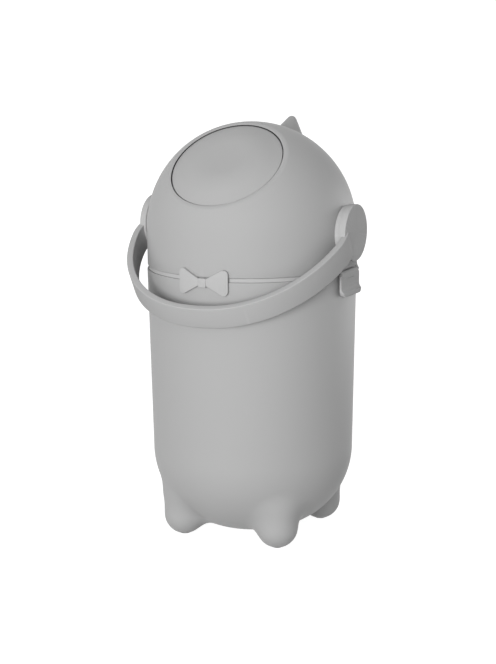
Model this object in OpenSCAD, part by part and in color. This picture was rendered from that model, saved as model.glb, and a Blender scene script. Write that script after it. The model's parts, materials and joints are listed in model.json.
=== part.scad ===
// Nappy bin: a round body on four moulded feet, a domed head that tips open on a side hinge,
// a spring-closed flap in the dome, a carrying handle and a side latch.
// The axis of the bin is Z, the floor is z = 0 and the front faces -Y. Millimetres and degrees.

/* [Body] */
// Outer radius of the body at its rim
body_r = 113.4; // [112:0.1:115]
// Height of the body's rim above the floor
rim_z = 293; // [285:1:300]
// Draft of the body wall, narrower towards the floor
body_draft = 1.07; // [0.5:0.01:1.5]
// Thickness of the moulded walls
wall = 2.6; // [2:0.1:3]
// Radius of the round turn from wall to base
bowl_r = 90; // [85:1:92]
// Height at which the wall begins to turn
bowl_z = 95; // [94:1:100]

/* [Feet] */
// Radius of a foot's round end
foot_r = 21; // [19:0.5:23]
// Distance of each foot from the bin's axis, along X and along Y
foot_spread = 56.5; // [54:0.5:58]
// Height of a foot's straight part above its round end
foot_rise = 14; // [8:1:20]
// Width of the soft blend between the feet and the base
foot_blend = 13; // [8:1:22]
// Radius of the soft pad under each foot
pad_r = 7; // [5:0.5:8]

/* [Head] */
// Outer radius of the dome and its skirt
head_r = 113; // [112:0.1:114]
// Height of the dome's centre
head_z = 336; // [330:1:342]
// Tilt of the hatch from straight up towards the front
hatch_tilt = 38.4; // [34:0.1:42]
// Radius of the hatch hole
hatch_r = 61.8; // [58:0.1:63]
// Distance of the flap's edge from the dome's centre, along the hatch axis
flap_edge_h = 91; // [90:0.1:91.5]
// Height of the flap's crown above its edge
flap_crown = 6; // [4:0.5:16]

/* [Crest] */
// Distance of the crest's tip behind the bin's axis
crest_y = 102.3; // [98:0.1:106]
// Height of the centre of the crest's rounded tip
crest_z = 443.7; // [440:0.1:446]
// Tilt of the crest from straight up towards the back
crest_tilt = 27.2; // [20:0.1:35]
// Radius of the crest's rounded tip
crest_tip_r = 5.6; // [4:0.1:7]
// Angle between the crest's axis and its flank
crest_flank = 31.1; // [26:0.1:36]

/* [Handle] */
// Droop of the resting handle below the horizontal
handle_droop = 28.5; // [27:0.5:31]
// Swing of the handle from rest to its rear stop
handle_swing = 145; // [120:1:146]
// Half the outer width of the handle's arch
arch_half = 127.4; // [126:0.1:129]
// Outer reach of the arch from the pivots
arch_reach = 153; // [152:0.5:156]
// Exponent of the arch's superellipse
arch_power = 2.2; // [2:0.01:2.3]
// Width of the band at the pivots
band_w_end = 28.5; // [22:0.5:30]
// Width of the band at its middle
band_w_mid = 23.1; // [20:0.1:27]
// Thickness of the band at its middle
band_t = 7; // [6:0.1:8]
// Sag of the band's middle below the plane of the arms
band_sag = 4.5; // [0:0.5:6]
// Radius of the round ends of the handle
disc_r = 29.5; // [28:0.5:31]

/* [Latch and bow] */
// Width of the latch
latch_w = 48; // [44:1:54]
// Height of the latch's lower edge
latch_low = 271.5; // [270:0.5:274]
// Length of one wing of the bow tie
bow_wing = 23.3; // [20:0.1:25]
// Height of a wing at its outer end
bow_h = 26.5; // [20:0.5:28]
// Distance of the bow tie's front from the bin's axis
bow_front = 116.6; // [116:0.1:118]

/* [Hidden] */

$fn = 96;
eps = 0.01;
fit_gap = 0.3;          // air between pieces that move past each other
running_gap = 0.05;     // radial clearance of a pin in the piece that turns on it

shell_grey = [0.70, 0.70, 0.70];
trim_grey = [0.74, 0.74, 0.74];
inner_grey = [0.55, 0.56, 0.57];
seal_grey = [0.30, 0.31, 0.32];
steel = [0.62, 0.63, 0.65];

// Body
base_r = body_r - tan(body_draft) * (rim_z - bowl_z);    // radius where the wall begins to turn
bowl_mid = base_r - bowl_r;                              // radius of the flat middle of the base
base_z = bowl_z - bowl_r;                                // height of the base's underside
foot_steps = 108;                                        // columns round the base
bowl_steps = 25;                                         // rows from the wall to the flat middle
base_step = 0.06;                                        // the base stands this far inside the wall
pad_top = 2.2;
dimple_r = foot_r - 4.5;

// Neck and head
neck_r = 111.6;
neck_top = rim_z + 4.2;
skirt_z = neck_top + fit_gap;
head_in = head_r - wall;
spigot_top = neck_top + 5.8;
seal_top = spigot_top + 2.2;

// Flap and its hinge, in the hatch's own frame: u up the slope, h along the hatch axis
flap_r = hatch_r - 0.8;
flange_r = hatch_r + 4.8;
plate_low = flap_edge_h - 7.2;
plate_top = plate_low + 2;
collar_end = plate_top + 1.4;
hinge_u = 66;
hinge_h = 76;
flap_pin_r = 1.6;
frame_low = 81.5;
frame_in = flange_r + 0.4;
frame_out = 73.5;
arm_in = 16;
arm_out = 23.6;
ear_out = 30;

// Handle pivots
boss_face = 115;
boss_r = 28.5;
disc_in = boss_face + fit_gap;
disc_out = 121.9;
bolt_r = 5;
bolt_shank_r = 3.5;
cap_r = 25;
cap_t = 2;
stop_in = 20.5;
stop_out = 24.5;
lug_angle = 10;
bolt_head_x = 117.6;
bolt_head_t = 1.8;
boss_screw_y = 14;

// Latch, on a pin along Y beside the neck
latch_pivot = [114, 295.1];
latch_pin_r = 0.95;
latch_hub_r = 2;
latch_ear_r = 1.9;
latch_face = latch_pivot[0] + latch_hub_r;
pad_low = skirt_z + 2.6;
pad_face = 113.3;       // face of the right pad, above the latch
keeper_half = 12;
keeper_t = 0.5;
ridge_t = 0.9;

// Hinge of the head, on a pin along Y beside the neck
hinge_axis = [-117.2, 295.3];
knuckle_r = 3.3;
hinge_pin_r = 1.5;
hinge_half = 15;
knuckle_half = 8;

// Points of an arc about c, from angle a0 to a1
function arc(c, r, a0, a1, n = 8) =
    [for (i = [0:n]) c + r * [cos(a0 + (a1 - a0) * i / n), sin(a0 + (a1 - a0) * i / n)]];

// Triangles of a closed tube of rows of points, with flat ends
function tube_faces(rows, cols) = concat(
    [for (i = [0:rows - 2], j = [0:cols - 1], half = [0, 1])
        let (a = i * cols + j, b = i * cols + (j + 1) % cols)
        half == 0 ? [a, b, b + cols] : [a, b + cols, a + cols]],
    [[for (j = [cols - 1:-1:0]) j]],
    [[for (j = [0:cols - 1]) (rows - 1) * cols + j]]);

// Puts a shape drawn in the (Y, Z) plane onto the +X side, its extrusion running along X
module on_side() {
    rotate([90, 0, 90]) children();
}

// Puts a shape drawn in the (X, Z) plane, its extrusion running along +Y, centred
module along_y(length) {
    rotate([90, 0, 0]) linear_extrude(height = length, center = true) children();
}

// Puts children in the hatch's frame: Z along the hatch axis, Y up the slope
module in_hatch() {
    translate([0, 0, head_z]) rotate([hatch_tilt, 0, 0]) children();
}

// ---- Body ----

// How far a point is outside the plain round base
function bowl_gap(r, z) =
    r > bowl_mid ? norm([r - bowl_mid, z - bowl_z]) - bowl_r : base_z - z;

// How far a point is outside the nearest foot, a round-ended column
function foot_gap(p) =
    let (x = abs(p[0]) - foot_spread, y = abs(p[1]) - foot_spread,
         z = p[2] - max(foot_r, min(foot_r + foot_rise, p[2])))
    norm([x, y, z]) - foot_r;

// The smaller of two gaps, with a soft blend where they are alike
function blend_gap(a, b) =
    let (h = max(foot_blend - abs(a - b), 0) / foot_blend)
    min(a, b) - h * h * foot_blend / 4;

function base_gap(p) = blend_gap(bowl_gap(norm([p[0], p[1]]), p[2]), foot_gap(p));

// Point at distance s from the ring at the middle of the turn
function bowl_point(turn, drop, s) =
    let (r = bowl_mid + s * cos(drop))
    [r * cos(turn), r * sin(turn), bowl_z - s * sin(drop)];

// Distance along the ray at which the base's surface lies, by halving
function base_reach(turn, drop, low, high, n) =
    n == 0 ? (low + high) / 2
    : let (mid = (low + high) / 2)
      base_gap(bowl_point(turn, drop, mid)) < 0
      ? base_reach(turn, drop, mid, high, n - 1)
      : base_reach(turn, drop, low, mid, n - 1);

// The round base and its four feet as one flowing surface
module footed_base() {
    points = [
        for (row = [0:bowl_steps], col = [0:foot_steps - 1])
            let (turn = 360 * col / foot_steps, drop = 90 * row / bowl_steps)
            bowl_point(turn, drop, base_reach(turn, drop, bowl_r - 1, bowl_r + 40, 16) - base_step)
    ];
    polyhedron(points = points, faces = tube_faces(bowl_steps + 1, foot_steps), convexity = 6);
}

// Places children at each foot
module at_feet() {
    for (x = [-1, 1], y = [-1, 1])
        translate([x * foot_spread, y * foot_spread, 0]) children();
}

// The space inside the body, down to its floor
module body_cavity() {
    rotate_extrude()
        polygon(concat(
            [[0, rim_z + 1], [0, base_z + wall]],
            arc([bowl_mid, bowl_z], bowl_r - wall, -90, 0, 24),
            [[body_r - wall, rim_z], [body_r - wall, rim_z + 1]]));
}

module body_shell() {
    color(shell_grey)
        difference() {
            union() {
                translate([0, 0, bowl_z])
                    cylinder(r1 = base_r, r2 = body_r, h = rim_z - bowl_z);
                footed_base();
            }
            body_cavity();
            at_feet() {
                translate([0, 0, foot_r]) sphere(r = dimple_r);
                translate([0, 0, -1]) cylinder(r = pad_r, h = pad_top + 1);
            }
            bracket_screw_shanks();
        }
}

// Soft pads pressed into the ends of the feet
module foot_pads() {
    color(seal_grey)
        at_feet() rotate_extrude()
            polygon(concat([[0, 0]], arc([pad_r - 1.2, 1.2], 1.2, -90, 0, 5),
                           [[pad_r, pad_top], [0, pad_top]]));
}

// Ring pressed into the body's rim: it shows as the pale band and guides the head
module neck_ring() {
    color(trim_grey)
        rotate_extrude()
            polygon([
                [99.5, 286], [107.6, 286], [107.6, 281], [110.7, 281], [110.7, rim_z],
                [neck_r, rim_z], [neck_r, neck_top], [109.6, neck_top],
                [109.6, spigot_top], [106.6, spigot_top], [106.6, 289], [99.5, 289]
            ]);
}

// Soft ring that the head presses on
module neck_seal() {
    color(seal_grey)
        rotate_extrude()
            polygon(concat(
                [[106.8, spigot_top], [109.4, spigot_top]],
                arc([108.5, seal_top - 0.9], 0.9, 0, 90, 5),
                arc([107.7, seal_top - 0.9], 0.9, 90, 180, 5)));
}

// Curved keeper under the latch, with the ridge that the latch's nose snaps over
module latch_keeper() {
    half_angle = asin(keeper_half / body_r);
    color(trim_grey)
        rotate([0, 0, -half_angle]) rotate_extrude(angle = 2 * half_angle)
            polygon([
                [body_r, 277], [body_r + keeper_t, 277], [body_r + keeper_t, 281],
                [body_r + ridge_t, 282], [body_r + ridge_t, 284], [body_r + keeper_t, 286],
                [body_r + keeper_t, 289], [body_r, 289]
            ]);
}

module bracket_screw_shanks() {
    for (y = [-9, 9])
        translate([-body_r - 3, y, 279]) rotate([0, 90, 0]) cylinder(r = 1.9, h = 9);
}

// Bracket on the body that carries the head's hinge pin
module hinge_bracket() {
    ax = hinge_axis;
    color(trim_grey)
        difference() {
            union() {
                along_y(2 * hinge_half)
                    polygon([[ax[0] + 1.2, 270], [-110, 270], [-110, rim_z - 1],
                             [ax[0] + 2.6, rim_z - 1], [ax[0] + 1.2, rim_z - 2]]);
                along_y(2 * hinge_half) {
                    translate(ax) circle(r = knuckle_r);
                    polygon([[ax[0] - knuckle_r, ax[1]], [ax[0] - knuckle_r, ax[1] - 6],
                             [ax[0] + 1.3, ax[1] - 11], [ax[0] + 1.3, ax[1]]]);
                }
            }
            translate([0, 0, 260]) cylinder(r = body_r, h = 50);
            along_y(2 * (knuckle_half + fit_gap))
                translate([ax[0] - 6, ax[1] - knuckle_r - 1]) square([10, 12]);
            along_y(40) translate(ax) circle(r = hinge_pin_r);
            bracket_screw_shanks();
        }
}

module bracket_screws() {
    color(steel) {
        intersection() {
            bracket_screw_shanks();
            translate([-130, -20, 260]) cube([22, 40, 40]);
        }
        for (y = [-9, 9])
            translate([hinge_axis[0] + 1.2 - 1.6, y, 279]) rotate([0, 90, 0])
                cylinder(r = 3.4, h = 1.6);
    }
}

module hinge_pin() {
    color(steel)
        along_y(2 * hinge_half) translate(hinge_axis) circle(r = hinge_pin_r);
}

// Ring that holds the bag's edge: it lifts out to change the bag
module bag_ring() {
    color(inner_grey)
        rotate_extrude()
            polygon(concat(
                [[95.5, 267.5], [98, 267.5], [98, 289.3], [106.2, 289.3], [106.2, 291.3]],
                arc([98.5, 289], 3, 90, 180, 5)));
}

// ---- Head ----

// The inside and outside of the head as a flat outline, solid to radius r
module dome_profile(r, low) {
    intersection() {
        translate([0, head_z]) circle(r = r, $fn = 180);
        translate([0, head_z]) square([r + 1, r + 1]);
    }
    translate([0, low]) square([r, head_z - low]);
}

// Rounded cone at the back of the dome: inset makes the hollow inside it
module crest(inset) {
    tip = crest_tip_r - inset;
    long = 68;
    side = long / cos(crest_flank) + tip * tan(crest_flank);
    translate([0, crest_y, crest_z]) rotate([-crest_tilt, 0, 0])
        rotate_extrude()
            polygon(concat(
                [[0, -side * cos(crest_flank) + tip * sin(crest_flank)]],
                [[tip * cos(crest_flank) + side * sin(crest_flank),
                  -side * cos(crest_flank) + tip * sin(crest_flank)]],
                arc([0, 0], tip, crest_flank, 90, 8)));
}

module frame_screw_places() {
    for (turn = [45:90:315]) rotate([0, 0, turn]) translate([69.6, 0, 0]) children();
}

module head_shell() {
    color(shell_grey)
        difference() {
            union() {
                difference() {
                    union() {
                        rotate_extrude() dome_profile(head_r, skirt_z);
                        crest(0);
                    }
                    rotate_extrude() dome_profile(head_in, skirt_z - 1);
                    crest(wall);
                }
                // collar that hangs inside the hatch hole
                in_hatch() rotate_extrude()
                    polygon([[hatch_r - 0.5, collar_end], [hatch_r + 3.3, collar_end],
                             [hatch_r + 3.3, 91.2], [hatch_r - 0.5, 93]]);
                // ledge that presses on the neck's seal
                rotate_extrude()
                    translate([106.8, seal_top + fit_gap]) square([head_in - 106.8 + 0.5, 2]);
            }
            in_hatch() {
                rotate_extrude()
                    polygon([[0, 60], [hatch_r, 60], [hatch_r, flap_edge_h - 0.4],
                             [hatch_r + 4, flap_edge_h + 2.4], [hatch_r + 8, 120], [0, 120]]);
                frame_screw_places() translate([0, 0, frame_low]) cylinder(r = 1.4, h = 6);
            }
            for (s = [-1, 1]) {
                boss_fasteners(s, boss_screw_y);
                translate([s * 111, 0, head_z]) rotate([0, 90, 0])
                    cylinder(r = bolt_shank_r, h = 8, center = true);
            }
        }
}

// Shanks of the screws that hold a boss from inside the head
module boss_fasteners(side, y_out) {
    for (y = [-y_out, y_out])
        translate([side * 111, y, head_z]) rotate([0, 90, 0])
            cylinder(r = 1.6, h = 5.4, center = true);
}

// Round boss that the handle turns on, with the groove that stops the handle's lug
module handle_boss(pad_half, pad_x) {
    difference() {
        union() {
            translate([100, 0, head_z]) rotate([0, 90, 0]) cylinder(r = boss_r, h = boss_face - 100);
            translate([100, -pad_half, pad_low])
                cube([pad_x - 100, 2 * pad_half, head_z - 20 - pad_low]);
        }
        rotate_extrude($fn = 240) dome_profile(head_r, 280);
        translate([boss_face - 1.2, 0, head_z]) on_side()
            rotate([0, 0, handle_droop - handle_swing - lug_angle / 2 - 1])
                rotate_extrude(angle = handle_swing + lug_angle + 2)
                    translate([stop_in, 0]) square([stop_out - stop_in, 2]);
        translate([106, 0, head_z]) rotate([0, 90, 0]) cylinder(r = bolt_shank_r, h = 12);
        boss_fasteners(1, boss_screw_y);
    }
}

// Right boss, whose pad reaches down to carry the latch between two ears
module handle_boss_right() {
    ear_w = 2.2;
    color(trim_grey)
        difference() {
            union() {
                handle_boss(latch_w / 2, pad_face);
                for (s = [-1, 1])
                    translate([0, s * (latch_w / 2 - ear_w / 2), 0]) along_y(ear_w) {
                        translate(latch_pivot) circle(r = latch_ear_r);
                        polygon([
                            [latch_pivot[0] - latch_ear_r, latch_pivot[1]],
                            [latch_pivot[0] + latch_ear_r, latch_pivot[1]],
                            [pad_face + 0.5, skirt_z + 1.6], [pad_face, pad_low + 2],
                            [latch_pivot[0] - latch_ear_r, pad_low + 2]
                        ]);
                    }
            }
            along_y(latch_w + 1) translate(latch_pivot) circle(r = latch_pin_r);
        }
}

// Left boss, whose pad reaches down to the middle knuckle of the head's hinge
module handle_boss_left() {
    ax = hinge_axis;
    color(trim_grey)
        difference() {
            union() {
                mirror([1, 0, 0]) handle_boss(hinge_half, boss_face);
                along_y(2 * knuckle_half) {
                    translate(ax) circle(r = knuckle_r);
                    polygon([[ax[0] - 1.2, ax[1] + 3], [ax[0] + 3.2, ax[1] - 0.5],
                             [-boss_face + 1, pad_low + 1], [-boss_face, pad_low + 3]]);
                }
            }
            along_y(40) translate(ax) circle(r = hinge_pin_r + running_gap);
        }
}

// Screws that hold the two bosses, from inside the head
module boss_screws() {
    color(steel)
        for (s = [-1, 1]) {
            boss_fasteners(s, boss_screw_y);
            for (y = [-boss_screw_y, boss_screw_y])
                translate([s * 107.7, y, head_z]) rotate([0, 90, 0])
                    cylinder(r = 3, h = 1.6, center = true);
        }
}

// Shouldered bolt that the handle turns on
module handle_bolt() {
    translate([0, 0, head_z]) rotate([0, 90, 0])
        rotate_extrude()
            polygon([
                [0, 105.5], [bolt_shank_r, 105.5], [bolt_shank_r, boss_face], [bolt_r, boss_face],
                [bolt_r, bolt_head_x], [8.5, bolt_head_x], [8.5, bolt_head_x + bolt_head_t],
                [0, bolt_head_x + bolt_head_t]
            ]);
}

module handle_bolt_right() {
    color(steel) handle_bolt();
}

module handle_bolt_left() {
    color(steel) mirror([1, 0, 0]) handle_bolt();
}

// Nuts of the handle's bolts, inside the head
module handle_nuts() {
    color(steel)
        for (s = [-1, 1])
            translate([s * 108.1, 0, head_z]) rotate([0, 90, 0])
                difference() {
                    cylinder(r = 6.4, h = 4, center = true, $fn = 6);
                    cylinder(r = bolt_shank_r, h = 5, center = true);
                }
}

// ---- Flap ----

// Height at which the frame meets the inside of the dome
function frame_top(r) = sqrt(pow(head_in - 0.1, 2) - r * r);

// Ring inside the dome that carries the flap's pin between two ears
module flap_frame() {
    color(inner_grey)
        in_hatch() difference() {
            union() {
                rotate_extrude()
                    polygon([[frame_in, frame_low], [frame_out, frame_low],
                             [frame_out, frame_top(frame_out)], [frame_in, frame_top(frame_in)]]);
                for (s = [-1, 1])
                    translate([s * (arm_out + ear_out + 0.4) / 2, 0, 0]) on_side()
                        linear_extrude(height = ear_out - arm_out - 0.4, center = true) {
                            translate([hinge_u, hinge_h]) circle(r = 4);
                            translate([hinge_u - 4, hinge_h]) square([5, frame_low + 1 - hinge_h]);
                        }
            }
            translate([0, hinge_u, hinge_h]) rotate([0, 90, 0])
                cylinder(r = flap_pin_r, h = 80, center = true);
            frame_screw_places() translate([0, 0, frame_low - 1]) cylinder(r = 1.4, h = 8);
        }
}

module frame_screws() {
    color(steel)
        in_hatch() frame_screw_places() {
            translate([0, 0, frame_low - 1.5]) cylinder(r = 2.8, h = 1.5);
            translate([0, 0, frame_low - 0.5]) cylinder(r = 1.4, h = 6);
        }
}

module flap_pin() {
    color(steel)
        in_hatch() translate([0, hinge_u, hinge_h]) rotate([0, 90, 0])
            cylinder(r = flap_pin_r, h = 2 * ear_out, center = true);
}

// Round wire through the points of a path that never runs along X, as rings square to it
module wire(path, r, sides = 6) {
    rings = [
        for (i = [0:len(path) - 1])
            let (before = path[max(i - 1, 0)], after = path[min(i + 1, len(path) - 1)],
                 t = (after - before) / norm(after - before),
                 a = cross(t, [1, 0, 0]) / norm(cross(t, [1, 0, 0])), b = cross(t, a))
            for (j = [0:sides - 1])
                path[i] + r * cos(360 * j / sides) * a - r * sin(360 * j / sides) * b
    ];
    polyhedron(points = rings, faces = tube_faces(len(path), sides), convexity = 8);
}

// Torsion spring on the flap's pin: one leg on the frame, one under the flap
module flap_spring() {
    coil_r = 3.1;
    turns = 7;
    steps = 14;
    pitch = 2.6;
    half = turns * pitch / 2;
    coil = [
        for (i = [0:turns * steps])
            let (a = 90 - 360 * i / steps)
            [-half + pitch * i / steps, hinge_u + coil_r * cos(a), hinge_h + coil_r * sin(a)]
    ];
    color(steel)
        in_hatch()
            wire(concat([[-half, hinge_u - 28, hinge_h + coil_r + 3.4]], coil,
                        [[half, hinge_u + 9, hinge_h + coil_r + 0.6]]), 0.8);
}

// The flap's visible face: a shallow crowned disc with a round edge and a skirt
module flap_cap() {
    edge_round = 1;
    crown_r = (pow(flap_r - edge_round, 2) + pow(flap_crown, 2)) / (2 * flap_crown);
    crown_c = flap_edge_h + flap_crown - crown_r;
    rim_angle = acos((flap_r - edge_round) / crown_r);
    inner_angle = acos((flap_r - wall) / (crown_r - wall));
    color(shell_grey)
        in_hatch() difference() {
            union() {
                rotate_extrude()
                    polygon(concat(
                        arc([0, crown_c], crown_r - wall, 90, inner_angle, 16),
                        [[flap_r - wall, plate_top], [flap_r, plate_top]],
                        arc([flap_r - edge_round, flap_edge_h - edge_round], edge_round, 0, 90, 5),
                        arc([0, crown_c], crown_r, rim_angle + 1, 90, 16)));
                flap_posts() translate([0, 0, plate_top])
                    cylinder(r = 3.6, h = flap_edge_h + flap_crown / 2 - wall - plate_top);
            }
            flap_posts() translate([0, 0, plate_top - 1]) cylinder(r = 1.5, h = 5);
        }
}

module flap_posts() {
    for (turn = [30:120:270]) rotate([0, 0, turn]) translate([42, 0, 0]) children();
}

// Soft ring round the flap, under the collar
module flap_seal() {
    color(seal_grey)
        in_hatch() rotate_extrude()
            polygon(concat([[hatch_r + 0.3, plate_top], [flange_r - 0.6, plate_top]],
                           arc([flange_r - 1.2, collar_end - 0.3 - 0.6], 0.6, 0, 90, 4),
                           arc([hatch_r + 0.9, collar_end - 0.3 - 0.6], 0.6, 90, 180, 4)));
}

// Plate behind the flap's face, with ribs and the two arms that turn on the pin
module flap_backplate() {
    arm_w = arm_out - arm_in;
    color(inner_grey)
        in_hatch() difference() {
            union() {
                translate([0, 0, plate_low]) cylinder(r = flange_r, h = plate_top - plate_low);
                translate([0, 0, plate_low - 1.6]) difference() {
                    cylinder(r = 34, h = 1.7);
                    translate([0, 0, -1]) cylinder(r = 32, h = 4);
                }
                for (turn = [0:60:120])
                    rotate([0, 0, turn]) translate([-34, -1, plate_low - 1.6]) cube([68, 2, 1.7]);
                for (s = [-1, 1])
                    translate([s * (arm_in + arm_out) / 2, 0, 0]) on_side()
                        linear_extrude(height = arm_w, center = true) {
                            translate([hinge_u, hinge_h]) circle(r = 4);
                            polygon([[hinge_u - 3.6, hinge_h - 1.8], [hinge_u - 2, hinge_h + 3.6],
                                     [hinge_u - 7, plate_low + 0.5], [hinge_u - 30, plate_low + 0.5],
                                     [hinge_u - 18, plate_low - 3]]);
                        }
            }
            translate([0, hinge_u, hinge_h]) rotate([0, 90, 0])
                cylinder(r = flap_pin_r + running_gap, h = 60, center = true);
            flap_posts() translate([0, 0, plate_low - 1]) cylinder(r = 1.5, h = 4);
        }
}

module flap_screws() {
    color(steel)
        in_hatch() flap_posts() {
            translate([0, 0, plate_low - 1.6]) cylinder(r = 3, h = 1.6);
            translate([0, 0, plate_low - 0.5]) cylinder(r = 1.5, h = 6.4);
        }
}

// ---- Handle ----

mid_half = arch_half - band_t / 2;
mid_reach = arch_reach - band_t / 2;
disc_mid = (disc_in + disc_out) / 2;

function ease(t) = let (c = max(0, min(1, t))) c * c * (3 - 2 * c);

// Half the arch's width at a distance from the pivots, easing into the discs
function arch_x(s) =
    let (free = mid_half * pow(1 - pow(s / mid_reach, arch_power), 1 / arch_power))
    disc_mid + (free - disc_mid) * ease((s - 8) / 34);

// Station of the band: its place across and along the arms
function arch_point(a) =
    let (s = mid_reach * pow(abs(cos(a)), 2 / arch_power))
    [sign(sin(a)) * (s >= mid_reach ? 0 : arch_x(s)), s];

// The band as a sweep of a rounded strip, in the plane of the arms
module band() {
    stations = 64;
    start = 84.5;
    round_r = 2.2;
    corner = 3;
    rows = [
        for (i = [0:stations])
            let (a = -start + 2 * start * i / stations, p = arch_point(a),
                 q = arch_point(a + 0.2) - arch_point(a - 0.2), n = [q[1], -q[0]] / norm(q),
                 k = p[1] / mid_reach,
                 w = (band_w_end + (band_w_mid - band_w_end) * k) / 2 - round_r,
                 t = (6.4 + (band_t - 6.4) * ease(p[1] / 40)) / 2 - round_r,
                 sag = band_sag * pow(p[1] / mid_reach, 2))
            for (q4 = [[1, 1, 0], [-1, 1, 90], [-1, -1, 180], [1, -1, 270]], c = [0:corner])
                let (b = q4[2] + 90 * c / corner,
                     out = q4[0] * t + round_r * cos(b), up = q4[1] * w + round_r * sin(b))
                [p[0] + n[0] * out, p[1] + n[1] * out, up - sag]
    ];
    polyhedron(points = rows, faces = tube_faces(stations + 1, 4 * (corner + 1)), convexity = 6);
}

// Rounded disc at the end of each arm, with its recesses
module handle_disc_body() {
    rim = 1.4;
    translate([0, 0, head_z]) rotate([0, 90, 0]) rotate_extrude()
        polygon(concat(
            [[0, disc_in], [disc_r - 0.6, disc_in], [disc_r, disc_in + 0.6]],
            arc([disc_r - rim, disc_out - rim], rim, 0, 90, 5), [[0, disc_out]]));
    // lug that runs in the boss's groove
    translate([disc_in - 0.9, 0, head_z]) on_side() rotate([0, 0, handle_droop - lug_angle / 2])
        rotate_extrude(angle = lug_angle)
            translate([stop_in + 0.5, 0]) square([stop_out - stop_in - 1, 1.2]);
}

module handle_disc_recess() {
    translate([0, 0, head_z]) rotate([0, 90, 0]) {
        cylinder(r = bolt_r + running_gap, h = 200);
        translate([0, 0, bolt_head_x - fit_gap]) cylinder(r = 9.2, h = 10);
        translate([0, 0, disc_out - cap_t]) cylinder(r = cap_r + 0.15, h = 10);
    }
}

module handle_bail() {
    color(trim_grey)
        difference() {
            union() {
                translate([0, 0, head_z]) rotate([handle_droop, 0, 0]) rotate([0, 0, 180]) band();
                for (s = [0, 1]) mirror([s, 0, 0]) handle_disc_body();
            }
            for (s = [0, 1]) mirror([s, 0, 0]) handle_disc_recess();
        }
}

// Cap that covers the bolt, flush with the disc
module handle_cap() {
    translate([0, 0, head_z]) rotate([0, 90, 0]) rotate_extrude()
        polygon([[0, disc_out - cap_t], [cap_r, disc_out - cap_t], [cap_r, disc_out - 0.4],
                 [cap_r - 0.4, disc_out], [0, disc_out]]);
}

module handle_cap_right() {
    color(trim_grey) handle_cap();
}

module handle_cap_left() {
    color(trim_grey) mirror([1, 0, 0]) handle_cap();
}

// ---- Latch and trim ----

// Side view of the latch: a plate hung on its pin, with a flared lip to pull
module latch_profile() {
    x = latch_face;
    polygon(concat(
        arc(latch_pivot, latch_hub_r, 244, 0, 16),
        [[x, 280]], arc([x + 7, 280], 7, 180, 225, 5),
        [[x + 2.4, latch_low + 1], [x + 1.6, latch_low], [108, latch_low],
         [108, rim_z + 0.2]]));
}

module latch_clip() {
    half = latch_w / 2;
    round_r = 8;
    ear = 2.2 + fit_gap;
    color(trim_grey)
        difference() {
            intersection() {
                along_y(latch_w) latch_profile();
                // front outline, with round lower corners
                translate([100, 0, 0]) on_side() linear_extrude(height = 30)
                    polygon(concat(
                        [[half, 298], [-half, 298]],
                        arc([-half + round_r, latch_low + round_r], round_r, 180, 270, 8),
                        arc([half - round_r, latch_low + round_r], round_r, 270, 360, 8)));
            }
            translate([0, 0, 260]) cylinder(r = body_r + 0.5, h = rim_z + fit_gap - 260);
            translate([0, 0, 260]) cylinder(r = neck_r + fit_gap, h = 60);
            // room for the keeper
            translate([108, -keeper_half - 1.5, 275.5])
                cube([body_r + ridge_t + 0.4 - 108, 2 * keeper_half + 3, 15]);
            // shoulders that leave room for the ears
            for (s = [-1, 1])
                translate([110, s > 0 ? half - ear : -half - 1, latch_pivot[1] - 2.3])
                    cube([12, ear + 1, 10]);
            along_y(latch_w + 1) translate(latch_pivot) circle(r = latch_pin_r + running_gap);
            // shallow grip marks
            for (y = [-9, -5, -1, 3, 7])
                translate([latch_face - 0.4, y, 288]) cube([1, 2, 1.2]);
        }
}

module latch_pin() {
    color(steel)
        along_y(latch_w) translate(latch_pivot) circle(r = latch_pin_r);
}

// Front view of the bow tie's wings, round at their corners
module bow_wings() {
    knot_h = 8.5;
    knot_w = 8.8;
    corner = 4;
    tip = bow_h / 2;
    end = knot_w / 2 + bow_wing;
    for (s = [0, 1]) mirror([s, 0])
        polygon(concat(
            [[0, -knot_h / 2 + 0.6], [knot_w / 2, -knot_h / 2 + 0.6]],
            arc([end - corner - 0.6, -tip + corner], corner, -112, 4, 7),
            arc([end - corner - 0.6, tip - corner], corner, -4, 112, 7),
            [[knot_w / 2, knot_h / 2 - 0.6], [0, knot_h / 2 - 0.6]]));
}

// Bow tie wrapped on the front of the head, its lower half hanging clear of the body
module bow_tie() {
    bow_z = 292.6;
    color(trim_grey)
        difference() {
            union() {
                intersection() {
                    translate([0, -100, bow_z]) rotate([90, 0, 0])
                        linear_extrude(height = 30) bow_wings();
                    translate([0, 0, 270]) cylinder(r = bow_front, h = 50);
                }
                intersection() {
                    translate([-4.4, -130, bow_z - 5.3]) cube([8.8, 30, 8.5]);
                    translate([0, 0, 270]) cylinder(r = bow_front + 0.8, h = 50);
                }
                // tongue that joins the knot to the head
                translate([-4, -bow_front + 1, bow_z]) cube([8, 10, 8]);
            }
            translate([0, 0, 260]) cylinder(r = body_r + 0.5, h = skirt_z - 260 - eps);
            translate([0, 0, skirt_z - 1]) cylinder(r = head_r, h = 40);
        }
}

body_shell();
foot_pads();
neck_ring();
neck_seal();
latch_keeper();
hinge_bracket();
bracket_screws();
hinge_pin();
bag_ring();
head_shell();
handle_boss_right();
handle_boss_left();
boss_screws();
handle_bolt_right();
handle_bolt_left();
handle_nuts();
flap_frame();
frame_screws();
flap_pin();
flap_spring();
latch_pin();
bow_tie();
flap_cap();
flap_seal();
flap_backplate();
flap_screws();
handle_bail();
handle_cap_right();
handle_cap_left();
latch_clip();
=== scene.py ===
"""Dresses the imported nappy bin: smooth shells, bent handle, trim, fixings, finishes, light and camera.

Sizes are in millimetres in the classes and turn into metres when a mesh is made. The frame is the
bin's own: Z up, the floor at zero, the front facing -Y.
"""

from __future__ import annotations

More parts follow.
